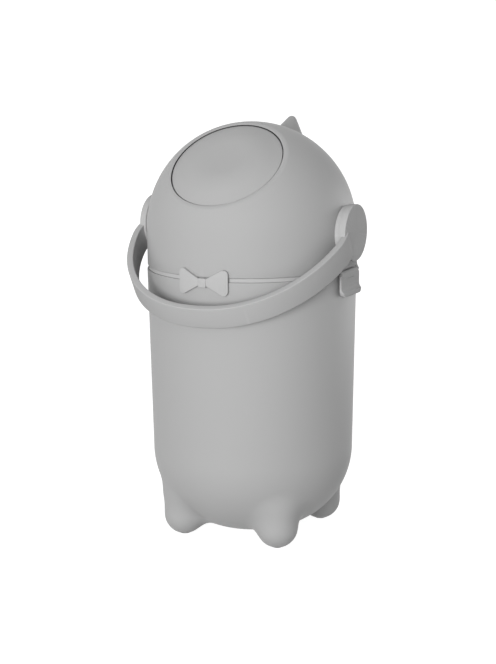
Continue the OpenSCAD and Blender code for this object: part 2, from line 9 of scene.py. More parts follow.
import json
import logging
import math
from dataclasses import dataclass
from enum import Enum
from functools import cache
from typing import Callable, Sequence

import bmesh
import bpy
import numpy as np
from mathutils import Matrix, Vector

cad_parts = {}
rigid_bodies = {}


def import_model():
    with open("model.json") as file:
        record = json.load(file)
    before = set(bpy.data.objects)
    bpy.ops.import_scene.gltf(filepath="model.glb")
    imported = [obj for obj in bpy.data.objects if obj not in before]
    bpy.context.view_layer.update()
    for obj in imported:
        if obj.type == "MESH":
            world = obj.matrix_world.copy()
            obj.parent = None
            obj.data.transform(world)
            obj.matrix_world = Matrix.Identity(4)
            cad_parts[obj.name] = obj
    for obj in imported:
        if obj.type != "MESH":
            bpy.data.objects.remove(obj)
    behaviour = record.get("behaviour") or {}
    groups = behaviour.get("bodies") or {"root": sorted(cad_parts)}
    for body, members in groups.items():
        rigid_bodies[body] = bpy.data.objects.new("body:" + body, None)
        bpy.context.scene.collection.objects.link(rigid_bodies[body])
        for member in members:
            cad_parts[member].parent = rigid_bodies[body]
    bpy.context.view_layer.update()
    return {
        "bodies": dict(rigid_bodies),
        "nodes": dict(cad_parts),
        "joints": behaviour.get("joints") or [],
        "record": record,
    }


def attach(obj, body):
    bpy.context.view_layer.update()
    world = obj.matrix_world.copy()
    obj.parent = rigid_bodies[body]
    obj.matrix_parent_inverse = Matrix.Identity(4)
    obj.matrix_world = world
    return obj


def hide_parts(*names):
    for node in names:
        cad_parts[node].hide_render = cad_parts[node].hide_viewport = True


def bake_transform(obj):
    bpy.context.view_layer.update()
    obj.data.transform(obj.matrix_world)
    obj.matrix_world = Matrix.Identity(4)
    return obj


LOG = logging.getLogger("nappy_bin")
MM = 0.001
BISECTIONS = 34
FLOAT, VECTOR, COLOUR = "NodeSocketFloat", "NodeSocketVector", "NodeSocketColor"
Point = tuple[float, float, float]
Outline = Sequence[tuple[float, float]]


class Body(Enum):
    """The rigid bodies that pieces ride on."""

    BIN = "bin_body"
    RING = "bag_ring"
    HEAD = "head"
    FLAP = "flap"
    HANDLE = "handle"
    LATCH = "latch"


class Slot(Enum):
    """The record's material slots."""

    SHELL = "shell"
    TRIM = "trim"
    INNER = "inner"
    SEAL = "seal"
    STEEL = "steel"


class Side(Enum):
    """The two sides of the bin, as the sign of X."""

    LEFT = -1
    RIGHT = 1


class Boolean(Enum):
    """What a boolean does with the other solid."""

    UNITE = "UNION"
    CUT = "DIFFERENCE"
    MEET = "INTERSECT"


# ---- Node groups and finishes ----


@dataclass(frozen=True)
class SocketSpec:
    """One socket of a node group.

    Args:
        name: the socket's name.
        kind: its socket type.
        value: its default, or None.
    """

    name: str
    kind: str = FLOAT
    value: object = None


def feed(tree: bpy.types.NodeTree, node: bpy.types.Node, inputs: dict[str, object]) -> bpy.types.Node:
    """Sets or links a node's inputs.

    Args:
        tree: the tree that the node is in.
        node: the node.
        inputs: a value or an output socket for each input, by its name or number.

    Returns:
        The node.
    """
    for key, value in inputs.items():
        socket = node.inputs[int(key)] if key.isdigit() else node.inputs[key]
        if isinstance(value, bpy.types.NodeSocket):
            tree.links.new(value, socket)
        else:
            socket.default_value = value
    return node


class Graph:
    """A node group with named inputs and outputs."""

    kind = "ShaderNodeTree"

    def __init__(self, name: str, inputs: Sequence[SocketSpec], outputs: Sequence[SocketSpec]) -> None:
        """Makes the empty group and its sockets.

        Args:
            name: the group's name.
            inputs: what its user sets.
            outputs: what the group gives back.
        """
        self.tree = bpy.data.node_groups.new(name, self.kind)
        self.keys: dict[str, str] = {}
        for spec in inputs:
            socket = self.tree.interface.new_socket(spec.name, in_out="INPUT", socket_type=spec.kind)
            if spec.value is not None:
                socket.default_value = spec.value
            self.keys[spec.name] = socket.identifier
        for spec in outputs:
            self.tree.interface.new_socket(spec.name, in_out="OUTPUT", socket_type=spec.kind)
        self.entry = self.add("NodeGroupInput").outputs
        self.exit = self.add("NodeGroupOutput")

    def add(self, kind: str, inputs: dict[str, object] | None = None, **settings: object) -> bpy.types.Node:
        """Adds a node, with settings and with values or links on its inputs.

        Args:
            kind: the node's bl_idname.
            inputs: a value or an output socket for each input, by its name or number.
            settings: properties to set on it.

        Returns:
            The node.
        """
        node = self.tree.nodes.new(kind)
        for key, value in settings.items():
            setattr(node, key, value)
        return feed(self.tree, node, inputs or {})

    def give(self, outputs: dict[str, bpy.types.NodeSocket]) -> None:
        """Links what the group puts out."""
        feed(self.tree, self.exit, outputs)


@cache
def moulded_grain() -> Graph:
    """Fine spark-eroded grain of a moulded surface.

    Returns:
        A group that puts out a height and a mask of the grain, both 0 to 1.
    """
    group = Graph(
        "moulded_grain",
        [SocketSpec("Vector", VECTOR), SocketSpec("Grains per metre", FLOAT, 1600.0),
         SocketSpec("Softness", FLOAT, 0.5)],
        [SocketSpec("Height"), SocketSpec("Mask")])
    place, scale = group.entry["Vector"], group.entry["Grains per metre"]
    fine = group.add("ShaderNodeTexNoise", {"Vector": place, "Scale": scale, "Detail": 3.0})
    half = group.add("ShaderNodeMath", {"0": scale, "1": 0.6}, operation="MULTIPLY")
    coarse = group.add("ShaderNodeTexVoronoi", {"Vector": place, "Scale": half.outputs[0]}, feature="SMOOTH_F1")
    mix = group.add("ShaderNodeMix", {
        "0": group.entry["Softness"], "2": coarse.outputs["Distance"], "3": fine.outputs["Fac"]})
    group.give({"Height": mix.outputs[0], "Mask": fine.outputs["Fac"]})
    return group


@cache
def tone_drift() -> Graph:
    """Slow drift of tone and gloss over a large moulding, as from handling and flow.

    Returns:
        A group that puts out a colour and a roughness.
    """
    group = Graph(
        "tone_drift",
        [SocketSpec("Vector", VECTOR), SocketSpec("Colour", COLOUR, (0.5, 0.5, 0.5, 1.0)),
         SocketSpec("Roughness", FLOAT, 0.5), SocketSpec("Drift", FLOAT, 0.03)],
        [SocketSpec("Colour", COLOUR), SocketSpec("Roughness")])
    entry = group.entry
    cloud = group.add("ShaderNodeTexNoise", {"Vector": entry["Vector"], "Scale": 9.0, "Detail": 2.0})
    span = group.add("ShaderNodeMapRange", {
        "Value": cloud.outputs["Fac"], "From Min": 0.3, "From Max": 0.7, "To Min": -1.0})
    swing = group.add("ShaderNodeMath", {"0": span.outputs["Result"], "1": entry["Drift"]}, operation="MULTIPLY")
    value = group.add("ShaderNodeMath", {"0": swing.outputs[0], "1": 1.0}, operation="ADD")
    tint = group.add("ShaderNodeHueSaturation", {"Value": value.outputs[0], "Color": entry["Colour"]})
    rough = group.add("ShaderNodeMath", {"0": entry["Roughness"], "1": swing.outputs[0]},
                      operation="ADD", use_clamp=True)
    group.give({"Colour": tint.outputs["Color"], "Roughness": rough.outputs[0]})
    return group


@cache
def edge_wear() -> Graph:
    """Paler plastic where edges are rubbed.

    Returns:
        A group that puts out the worn colour and a mask of the edges.
    """
    group = Graph(
        "edge_wear",
        [SocketSpec("Colour", COLOUR, (0.5, 0.5, 0.5, 1.0)), SocketSpec("Worn colour", COLOUR, (0.7, 0.7, 0.7, 1.0)),
         SocketSpec("Amount", FLOAT, 0.3)],
        [SocketSpec("Colour", COLOUR), SocketSpec("Edges")])
    shape = group.add("ShaderNodeNewGeometry")
    span = group.add("ShaderNodeMapRange", {
        "Value": shape.outputs["Pointiness"], "From Min": 0.52, "From Max": 0.62})
    scale = group.add("ShaderNodeMath", {"0": span.outputs["Result"], "1": group.entry["Amount"]},
                      operation="MULTIPLY", use_clamp=True)
    mix = group.add("ShaderNodeMix", {
        "0": scale.outputs[0], "6": group.entry["Colour"], "7": group.entry["Worn colour"]}, data_type="RGBA")
    group.give({"Colour": mix.outputs[2], "Edges": scale.outputs[0]})
    return group


@dataclass(frozen=True)
class Finish:
    """A surface finish.

    Args:
        name: the material's name.
        tone: linear grey or colour of the surface.
        roughness: how matt it is.
        grain: grains per metre of its texture.
        depth: height of the grain in millimetres.
        drift: how far tone and gloss wander over the piece.
        wear: how pale its rubbed edges are.
        metallic: 1 for bare metal.
        gloss: level of its surface reflection.
    """

    name: str
    tone: tuple[float, float, float]
    roughness: float = 0.5
    grain: float = 1600.0
    depth: float = 0.02
    drift: float = 0.02
    wear: float = 0.25
    metallic: float = 0.0
    gloss: float = 0.5

    def material(self) -> bpy.types.Material:
        """The material, made once.

        Returns:
            The node material of this finish.
        """
        found = bpy.data.materials.get(self.name)
        if found:
            return found
        mat = bpy.data.materials.new(self.name)
        mat.use_nodes = True
        mat.diffuse_color = (*self.tone, 1.0)
        tree = mat.node_tree
        place = tree.nodes.new("ShaderNodeTexCoord").outputs["Object"]
        worn = (*[min(1.0, 0.75 * c + 0.25) for c in self.tone], 1.0)
        grain = self._group(tree, moulded_grain, {"Vector": place, "Grains per metre": self.grain})
        drift = self._group(tree, tone_drift, {
            "Vector": place, "Colour": (*self.tone, 1.0), "Roughness": self.roughness, "Drift": self.drift})
        wear = self._group(tree, edge_wear, {"Colour": drift["Colour"], "Worn colour": worn, "Amount": self.wear})
        bump = feed(tree, tree.nodes.new("ShaderNodeBump"), {
            "Height": grain["Height"], "Strength": 1.0, "Distance": self.depth * MM})
        feed(tree, tree.nodes["Principled BSDF"], {
            "Base Color": wear["Colour"], "Roughness": drift["Roughness"], "Metallic": self.metallic,
            "Specular IOR Level": self.gloss, "Normal": bump.outputs["Normal"]})
        return mat

    @staticmethod
    def _group(tree: bpy.types.NodeTree, maker: Callable[[], Graph],
               inputs: dict[str, object]) -> bpy.types.bpy_prop_collection:
        """Places a shared group in a material and sets its inputs.

        Args:
            tree: the material's tree.
            maker: the function that builds the group.
            inputs: a value or an output socket for each input.

        Returns:
            The group's outputs.
        """
        node = tree.nodes.new("ShaderNodeGroup")
        node.node_tree = maker().tree
        return feed(tree, node, inputs).outputs


SHELL = Finish("shell_plastic", (0.355, 0.355, 0.355), 0.5, 1500, 0.012, 0.008, 0.1, gloss=0.5)
TRIM = Finish("trim_plastic", (0.41, 0.41, 0.41), 0.60, 1500, 0.010, 0.008, 0.25, gloss=0.1)
BAND = Finish("band_plastic", (0.41, 0.41, 0.41), 0.60, 1500, 0.010, 0.008, 0.2, gloss=0.1)
BOW = Finish("bow_plastic", (0.41, 0.41, 0.41), 0.55, 1500, 0.010, 0.008, 0.3, gloss=0.2)
INNER = Finish("inner_plastic", (0.30, 0.30, 0.31), 0.5, 900, 0.03, 0.03, 0.3)
# Real rubber of the seals and foot pads; the head also puts it on the collar's wall in the gap round the flap as
# painted shade
RUBBER_AND_GAP_SHADE = Finish("seal_rubber", (0.06, 0.06, 0.062), 0.75, 2200, 0.03, 0.03, 0.1)
STEEL = Finish("plated_steel", (0.60, 0.60, 0.61), 0.3, 3000, 0.004, 0.03, 0.4, metallic=1.0)
SPRING = Finish("spring_steel", (0.45, 0.45, 0.46), 0.35, 3000, 0.004, 0.04, 0.3, metallic=1.0)


# ---- Mesh making ----


class Shaper:
    """Turns rows of points in millimetres into clean, closed meshes."""

    @staticmethod
    def loft(name: str, rows: np.ndarray, loop: bool = False) -> bpy.types.Object:
        """Joins closed rings of points into a tube, closed by poles or by its own start.

        Args:
            name: the piece's name.
            rows: array (rings, columns, 3), in millimetres.
            loop: True if the last ring joins the first one.

        Returns:
            The object, with its faces pointing outwards.
        """
        rings, cols, _ = rows.shape
        mesh_points = rows.reshape(-1, 3) * MM
        verts = [tuple(p) for p in mesh_points]
        last = rings if loop else rings - 1
        faces = []
        for i in range(last):
            here, there = i * cols, (i + 1) % rings * cols
            faces += [(here + j, here + (j + 1) % cols, there + (j + 1) % cols, there + j) for j in range(cols)]
        if not loop:
            for ring in (0, rings - 1):
                verts.append(tuple(mesh_points[ring * cols:(ring + 1) * cols].mean(axis=0)))
                pole = len(verts) - 1
                faces += [(pole, ring * cols + (j + 1) % cols, ring * cols + j) for j in range(cols)]
        return Shaper.piece(name, verts, faces)

    @staticmethod
    def revolve(name: str, profile: Outline, cols: int, frame: Matrix | None = None,
                loop: bool = False) -> bpy.types.Object:
        """Turns a profile of (radius, height) about the Z axis of a frame.

        Args:
            name: the piece's name.
            profile: points in millimetres.
            cols: how many columns go round.
            frame: where the axis stands, in millimetres.
            loop: True for a ring, whose profile is a closed outline.

        Returns:
            The object.
        """
        obj = Shaper.loft(name, level_rings(profile, around(cols)), loop)
        if frame is not None:
            move = frame.copy()
            move.translation = frame.translation * MM
            obj.data.transform(move)
            Shaper.outwards(obj)
        return obj

    @staticmethod
    def piece(name: str, verts: Sequence[Point], faces: Sequence[Sequence[int]]) -> bpy.types.Object:
        """Makes an object from points in metres and faces, merged and facing outwards.

        Args:
            name: the piece's name.
            verts: points, in metres.
            faces: faces, as indices.

        Returns:
            The object.
        """
        mesh = bpy.data.meshes.new(name)
        mesh.from_pydata([tuple(v) for v in verts], [], [tuple(f) for f in faces])
        obj = bpy.data.objects.new(name, mesh)
        bpy.context.collection.objects.link(obj)
        Shaper.outwards(obj)
        return obj

    @staticmethod
    def prism(name: str, low: Sequence[Point], high: Sequence[Point]) -> bpy.types.Object:
        """A solid between two like outlines, in millimetres.

        Args:
            name: the piece's name.
            low: points of the first outline.
            high: points of the second outline.

        Returns:
            The solid.
        """
        n = len(low)
        verts = [tuple(c * MM for c in p) for p in (*low, *high)]
        sides = [(i, (i + 1) % n, n + (i + 1) % n, n + i) for i in range(n)]
        return Shaper.piece(name, verts, [tuple(range(n)), tuple(range(n, 2 * n)), *sides])

    @staticmethod
    def plate(name: str, outline: Outline, near: float, far: float, side: Side) -> bpy.types.Object:
        """A plate that faces one side: its outline lies in Y and Z, its thickness along X."""
        low, high = ([(side.value * x, y, z) for y, z in outline] for x in (near, far))
        return Shaper.prism(name, low, high)

    @staticmethod
    def facing(name: str, outline: Outline, near: float, far: float) -> bpy.types.Object:
        """A plate that faces the front: its outline lies in X and Z, its thickness along -Y."""
        low, high = ([(x, -y, z) for x, z in outline] for y in (near, far))
        return Shaper.prism(name, low, high)

    @staticmethod
    def strip(name: str, outline: Outline, width: float, middle: float = 0.0) -> bpy.types.Object:
        """A solid whose outline lies in X and Z and which runs along Y."""
        low, high = ([(x, y, z) for x, z in outline] for y in (middle - width / 2, middle + width / 2))
        return Shaper.prism(name, low, high)

    @staticmethod
    def block(name: str, low: Point, high: Point) -> bpy.types.Object:
        """A cutting block between two corners, in millimetres."""
        outline = [(low[0], low[2]), (high[0], low[2]), (high[0], high[2]), (low[0], high[2])]
        return Shaper.strip(name, outline, high[1] - low[1], (low[1] + high[1]) / 2)

    @staticmethod
    def slice(obj: bpy.types.Object, step: float) -> None:
        """Cuts a piece's faces by upright planes across X, so that it can bend.

        Args:
            obj: the piece.
            step: distance of the planes in millimetres.
        """
        off_centre = 0.137  # keeps the planes off the piece's own corners
        work = bmesh.new()
        work.from_mesh(obj.data)
        count = int(max(abs(v.co.x) for v in work.verts) / (step * MM))
        for i in range(-count, count + 1):
            bmesh.ops.bisect_plane(
                work, geom=work.verts[:] + work.edges[:] + work.faces[:],
                plane_co=Vector(((i + off_centre) * step * MM, 0, 0)), plane_no=Vector((1, 0, 0)), dist=1e-7)
        work.to_mesh(obj.data)
        work.free()

    @staticmethod
    def mirror_left(obj: bpy.types.Object) -> bpy.types.Object:
        """Replaces a piece's right half, past the plane of X at zero, by its left half's mirror image.

        Args:
            obj: the piece.

        Returns:
            The piece.
        """
        mod = obj.modifiers.new("mirror", "MIRROR")
        mod.use_axis = (True, False, False)
        mod.use_bisect_axis = (True, False, False)
        mod.use_bisect_flip_axis = (True, False, False)
        mod.bisect_threshold = mod.merge_threshold = 1e-6
        return Shaper.bake(obj)

    @staticmethod
    def outwards(obj: bpy.types.Object) -> None:
        """Merges doubles and points every face outwards."""
        work = bmesh.new()
        work.from_mesh(obj.data)
        bmesh.ops.remove_doubles(work, verts=work.verts, dist=1e-7)
        bmesh.ops.recalc_face_normals(work, faces=work.faces)
        work.to_mesh(obj.data)
        work.free()

    @staticmethod
    def smooth(obj: bpy.types.Object, angle: float = 35.0) -> bpy.types.Object:
        """Shades a piece smooth, apart from edges sharper than an angle in degrees.

        Args:
            obj: the piece.
            angle: the least angle that stays sharp, in degrees.

        Returns:
            The piece.
        """
        obj.data.polygons.foreach_set("use_smooth", [True] * len(obj.data.polygons))
        obj.data.set_sharp_from_angle(angle=math.radians(angle))
        return obj

    @staticmethod
    def bake(obj: bpy.types.Object) -> bpy.types.Object:
        """Replaces a piece's mesh by its evaluated one and drops its modifiers.

        Args:
            obj: the piece, with live modifiers.

        Returns:
            The same object, with a plain mesh.
        """
        graph = bpy.context.evaluated_depsgraph_get()
        mesh = bpy.data.meshes.new_from_object(obj.evaluated_get(graph))
        obj.modifiers.clear()
        obj.data = mesh
        return obj

    @staticmethod
    def _combine(obj: bpy.types.Object, others: Sequence[bpy.types.Object], way: Boolean) -> bpy.types.Object:
        """Combines a piece with other solids by exact booleans.

        Args:
            obj: the piece.
            others: solids that are used up.
            way: what is done with them.

        Returns:
            The piece.
        """
        for other in others:
            mod = obj.modifiers.new("solid", "BOOLEAN")
            mod.operation, mod.solver, mod.object = way.value, "EXACT", other
            Shaper.bake(obj)
            bpy.data.objects.remove(other)
        return obj

    @staticmethod
    def unite(obj: bpy.types.Object, others: Sequence[bpy.types.Object]) -> bpy.types.Object:
        """Adds other solids to a piece."""
        return Shaper._combine(obj, others, Boolean.UNITE)

    @staticmethod
    def cut(obj: bpy.types.Object, others: Sequence[bpy.types.Object]) -> bpy.types.Object:
        """Cuts other solids out of a piece."""
        return Shaper._combine(obj, others, Boolean.CUT)

    @staticmethod
    def meet(obj: bpy.types.Object, other: bpy.types.Object) -> bpy.types.Object:
        """Keeps what a piece shares with another solid."""
        return Shaper._combine(obj, [other], Boolean.MEET)

    @staticmethod
    def bevel(obj: bpy.types.Object, width: float, segments: int = 3, angle: float = 35.0) -> bpy.types.Object:
        """Rounds the edges of a piece that are sharper than an angle.

        Args:
            obj: the piece.
            width: width of the bevel in millimetres.
            segments: faces across the bevel.
            angle: the least angle that is rounded, in degrees.

        Returns:
            The piece.
        """
        mod = obj.modifiers.new("edges", "BEVEL")
        mod.width, mod.segments, mod.limit_method = width * MM, segments, "ANGLE"
        mod.angle_limit = math.radians(angle)
        return Shaper.bake(obj)


def arc(cx: float, cy: float, radius: float, start: float, end: float, steps: int) -> list[tuple[float, float]]:
    """Points of an arc in a flat outline.

    Args:
        cx: the centre's first coordinate.
        cy: the centre's second coordinate.
        radius: the arc's radius.
        start: its first angle, in degrees.
        end: its last angle, in degrees.
        steps: how many steps it takes.

    Returns:
        The points, ends included.
    """
    angles = [math.radians(start + (end - start) * i / steps) for i in range(steps + 1)]
    return [(cx + radius * math.cos(a), cy + radius * math.sin(a)) for a in angles]


def around(cols: int) -> np.ndarray:
    """Angles of a number of columns, evenly round a circle."""
    return np.linspace(0, 2 * math.pi, cols, endpoint=False)


def level_rings(path: Outline, turn: np.ndarray) -> np.ndarray:
    """Level rings round the Z axis.

    Args:
        path: radius and height of each ring.
        turn: angles of the columns.

    Returns:
        Array (rings, columns, 3).
    """
    return np.stack([np.stack([r * np.cos(turn), r * np.sin(turn), np.full_like(turn, h)], axis=1) for r, h in path])


def ease(t: np.ndarray | float) -> np.ndarray:
    """Smooth step from 0 to 1."""
    c = np.clip(t, 0.0, 1.0)
    return c * c * (3 - 2 * c)


def side_frame(side: Side, height: float) -> Matrix:
    """A frame whose Z runs out of one side of the bin along X, at a height."""
    return Matrix.Translation((0, 0, height)) @ Matrix.Rotation(math.radians(90 * side.value), 4, "Y")


def soft_min(a: np.ndarray, b: np.ndarray, width: np.ndarray | float) -> np.ndarray:
    """The smaller of two gaps, with a soft blend where they are alike.

    Args:
        a: the first gap.
        b: the second gap.
        width: width of the blend.

    Returns:
        The blended gap.
    """
    h = np.maximum(width - np.abs(a - b), 0) / width
    return np.minimum(a, b) - h * h * width / 4


def reach(gap: Callable[[np.ndarray], np.ndarray], start: np.ndarray, way: np.ndarray,
          low: float, high: float) -> np.ndarray:
    """Walks out along rays to the surface where a gap turns positive.

    Args:
        gap: signed distance of points from the surface, negative inside.
        start: the rays' starts, (..., 3).
        way: the rays' unit directions, (..., 3).
        low: a distance that is inside.
        high: a distance that is outside.

    Returns:
        The points on the surface.
    """
    lo = np.full(start.shape[:-1], low)
    hi = np.full(start.shape[:-1], high)
    for _ in range(BISECTIONS):
        mid = (lo + hi) / 2
        inside = gap(start + way * mid[..., None]) < 0
        lo, hi = np.where(inside, mid, lo), np.where(inside, hi, mid)
    return start + way * ((lo + hi) / 2)[..., None]


def own(obj: bpy.types.Object, body: Body, slot: Slot, finish: Finish, *nodes: str) -> bpy.types.Object:
    """Gives a piece its body, its finish and the CAD nodes that it stands for.

    Args:
        obj: the piece.
        body: the body that it rides on.
        slot: the record's slot that it takes; not used.
        finish: its finish.
        nodes: the CAD nodes that it replaces.

    Returns:
        The piece.
    """
    if not obj.data.materials:
        obj.data.materials.append(finish.material())
    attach(obj, body.value)
    if nodes:
        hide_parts(*nodes)
    LOG.info("%s: %d faces on %s", obj.name, len(obj.data.polygons), body.value)
    return obj


# ---- Geometry Nodes ----


class Tree(Graph):
    """A Geometry Nodes tree with named inputs, used once and then baked into a mesh."""

    kind = "GeometryNodeTree"

    def __init__(self, name: str, inputs: Sequence[SocketSpec]) -> None:
        """Makes the tree, its geometry and material sockets and its named inputs.

        Args:
            name: the tree's name.
            inputs: its other inputs.
        """
        geometry = SocketSpec("Geometry", "NodeSocketGeometry")
        super().__init__(name, [geometry, SocketSpec("Material", "NodeSocketMaterial"), *inputs], [geometry])

    def close(self, geometry: bpy.types.NodeSocket) -> None:
        """Ends the tree in Realize Instances and Set Material.

        Args:
            geometry: what the tree has made.
        """
        real = self.add("GeometryNodeRealizeInstances", {"Geometry": geometry})
        paint = self.add("GeometryNodeSetMaterial", {"Geometry": real.outputs[0], "Material": self.entry["Material"]})
        self.give({"Geometry": paint.outputs[0]})

    def run(self, name: str, base: bpy.types.Mesh, values: dict[str, object]) -> bpy.types.Object:
        """Runs the tree on a mesh and bakes the result.

        Args:
            name: the piece's name.
            base: the mesh that the tree starts from.
            values: a value for each named input.

        Returns:
            The piece, a plain mesh.
        """
        obj = bpy.data.objects.new(name, base)
        bpy.context.collection.objects.link(obj)
        mod = obj.modifiers.new("tree", "NODES")
        mod.node_group = self.tree
        for key, value in values.items():
            mod[self.keys[key]] = value
        obj.update_tag()
        Shaper.bake(obj)
        Shaper.outwards(obj)
        return obj


def turned_tree() -> Tree:
    """A tree that sweeps a closed profile round the Z axis.

    Returns:
        The tree, with the profile's points as (radius - ring radius, height) in its base mesh.
    """
    tree = Tree("turned_ring", [SocketSpec("Ring radius", FLOAT, 0.1), SocketSpec("Columns", "NodeSocketInt", 128)])
    profile = tree.add("GeometryNodeMeshToCurve", {"Mesh": tree.entry["Geometry"]})
    ring = tree.add("GeometryNodeCurvePrimitiveCircle",
                    {"Resolution": tree.entry["Columns"], "Radius": tree.entry["Ring radius"]})
    sweep = tree.add("GeometryNodeCurveToMesh", {"Curve": ring.outputs["Curve"], "Profile Curve": profile.outputs[0]})
    tree.close(sweep.outputs[0])
    return tree


def scatter_tree() -> Tree:
    """A tree that sets a fastener on each point, aimed along the point's own direction.

    Returns:
        The tree.
    """
    tree = Tree("fasteners", [SocketSpec("Fastener", "NodeSocketObject"), SocketSpec("Size", FLOAT, 1.0)])
    thing = tree.add("GeometryNodeObjectInfo", {"Object": tree.entry["Fastener"], "As Instance": True})
    aim = tree.add("GeometryNodeInputNamedAttribute", {"Name": "aim"}, data_type="FLOAT_VECTOR")
    turn = tree.add("FunctionNodeAlignRotationToVector", {"Vector": aim.outputs["Attribute"]}, axis="Z")
    size = tree.add("ShaderNodeCombineXYZ", {k: tree.entry["Size"] for k in "XYZ"})
    points = tree.add("GeometryNodeInstanceOnPoints", {
        "Points": tree.entry["Geometry"], "Instance": thing.outputs["Geometry"],
        "Rotation": turn.outputs[0], "Scale": size.outputs[0]})
    tree.close(points.outputs[0])
    return tree


def coil_tree() -> Tree:
    """A tree that winds a wire into a coil along X and adds its two legs.

    Returns:
        The tree, whose base mesh holds the two legs as edges.
    """
    tree = Tree("coil", [
        SocketSpec("Coil radius", FLOAT, 0.003), SocketSpec("Length", FLOAT, 0.018), SocketSpec("Turns", FLOAT, 7.0),
        SocketSpec("Wire radius", FLOAT, 0.0008), SocketSpec("Place", VECTOR), SocketSpec("Turn", VECTOR)])
    coil = tree.add("GeometryNodeCurveSpiral", {
        "Resolution": 22, "Rotations": tree.entry["Turns"],
        "Start Radius": tree.entry["Coil radius"], "End Radius": tree.entry["Coil radius"],
        "Height": tree.entry["Length"]})
    spin = tree.add("FunctionNodeEulerToRotation", {"Euler": tree.entry["Turn"]})
    put = tree.add("GeometryNodeTransform", {
        "Geometry": coil.outputs["Curve"], "Translation": tree.entry["Place"],
        "Rotation": spin.outputs[0]})
    legs = tree.add("GeometryNodeMeshToCurve", {"Mesh": tree.entry["Geometry"]})
    both = tree.add("GeometryNodeJoinGeometry")
    tree.tree.links.new(put.outputs[0], both.inputs[0])
    tree.tree.links.new(legs.outputs[0], both.inputs[0])
    wire = tree.add("GeometryNodeCurvePrimitiveCircle",
                    {"Resolution": 10, "Radius": tree.entry["Wire radius"]})
    sweep = tree.add("GeometryNodeCurveToMesh", {
        "Curve": both.outputs[0], "Profile Curve": wire.outputs["Curve"], "Fill Caps": True})
    tree.close(sweep.outputs[0])
    return tree


# ---- Sub-assemblies ----


@dataclass
class Tub:
    """The round body with its four moulded feet.

    Args:
        rim_r: outer radius at the rim.
        rim_z: height of the rim.
        draft: draft of the wall, in degrees.
        wall: thickness of the wall.
        bowl_r: radius of the turn from wall to base.
        bowl_z: height at which the wall begins to turn.
        foot_r: radius of a foot's round end.
        foot_spread: distance of a foot from the axis along X and along Y.
        foot_rise: height of a foot's straight part above its round end.
        foot_flat: height of a foot's flat sole, which the pad fills below.
        foot_blend: width of the soft blend between foot and base.
        foot_sink: how far a foot's round end would reach below the floor.
        cols: how many columns go round.
    """

    rim_r: float = 113.4
    rim_z: float = 293.0
    draft: float = 1.07
    wall: float = 2.6
    bowl_r: float = 90.0
    bowl_z: float = 95.0
    foot_r: float = 22.3
    foot_spread: float = 56.5
    foot_rise: float = 20.0
    foot_flat: float = 1.3
    foot_blend: float = 15.0
    foot_sink: float = 0.5
    cols: int = 240

    @property
    def base_r(self) -> float:
        """Radius where the wall begins to turn."""
        return self.rim_r - math.tan(math.radians(self.draft)) * (self.rim_z - self.bowl_z)

    def _bowl_gap(self, p: np.ndarray, inset: float) -> np.ndarray:
        """Distance outside the plain round base, drawn in by an inset.

        Args:
            p: points, (..., 3).
            inset: how far the surface is drawn in.

        Returns:
            The signed distances, negative inside.
        """
        mid = self.base_r - self.bowl_r
        r = np.hypot(p[..., 0], p[..., 1])
        side = np.hypot(np.maximum(r - mid, 0), p[..., 2] - self.bowl_z) - self.bowl_r
        return np.where(r > mid, side, self.bowl_z - self.bowl_r - p[..., 2]) + inset

    def _foot_gap(self, p: np.ndarray, inset: float) -> np.ndarray:
        """Distance outside the nearest foot, a round-ended column, drawn in by an inset.

        Args:
            p: points, (..., 3).
            inset: how far the surface is drawn in.

        Returns:
            The signed distances, negative inside.
        """
        x = np.abs(p[..., 0]) - self.foot_spread
        y = np.abs(p[..., 1]) - self.foot_spread
        low = self.foot_r - self.foot_sink
        z = p[..., 2] - np.clip(p[..., 2], low, low + self.foot_rise)
        return np.maximum(np.sqrt(x * x + y * y + z * z) - self.foot_r, self.foot_flat - p[..., 2]) + inset

    def _base_rows(self, inset: float, blend: float, steps: int, foot_inset: float) -> np.ndarray:
        """Rings of the base from the wall's end to the flat middle.

        Args:
            inset: how far inside the outer surface.
            blend: width of the soft blend to the feet.
            steps: how many rings.
            foot_inset: how far the feet are drawn in.

        Returns:
            Array (steps, columns, 3).
        """
        pole_gap = 0.006
        turn = around(self.cols)
        drop = np.linspace(0, math.pi / 2 - pole_gap, steps)
        mid = self.base_r - self.bowl_r
        spokes = np.stack([np.cos(turn), np.sin(turn), np.zeros_like(turn)], axis=1)
        start = np.broadcast_to(spokes * mid + np.array([0, 0, self.bowl_z]), (steps, self.cols, 3))
        way = spokes[None] * np.cos(drop)[:, None, None] + np.array([0, 0, -1.0]) * np.sin(drop)[:, None, None]
        return reach(
            lambda p: soft_min(self._bowl_gap(p, inset), self._foot_gap(p, foot_inset), blend),
            start, way, self.bowl_r - inset - 3, self.bowl_r + 40)

    def _wall_rows(self, inset: float, heights: Sequence[float]) -> np.ndarray:
        """Rings of the drafted wall at some heights."""
        slope = math.tan(math.radians(self.draft))
        return level_rings([(self.rim_r - slope * (self.rim_z - z) - inset, z) for z in heights], around(self.cols))

    def _rim_rows(self) -> np.ndarray:
        """Rings of the rim's rounded lip, from the inside to the outside.

        Returns:
            Array (rings, columns, 3).
        """
        lip = 0.7
        path = arc(self.rim_r - self.wall + lip, self.rim_z - lip, lip, 180, 90, 4)
        path += arc(self.rim_r - lip, self.rim_z - lip, lip, 90, 0, 4)
        return level_rings(path, around(self.cols))

    def build(self) -> bpy.types.Object:
        """Makes the body as one closed shell.

        Returns:
            The body.
        """
        inner = self._base_rows(inset=self.wall, blend=6.0, steps=40, foot_inset=4.5)
        outer = self._base_rows(inset=0.0, blend=self.foot_blend, steps=72, foot_inset=0.0)
        rows = np.concatenate([
            inner[::-1], self._wall_rows(self.wall, [130, 200, 260]), self._rim_rows(),
            self._wall_rows(0.0, [270, 240, 200, 160, 125]), outer])
        return own(Shaper.smooth(Shaper.loft("body_moulding", rows), 40), Body.BIN, Slot.SHELL, SHELL, "body_shell")


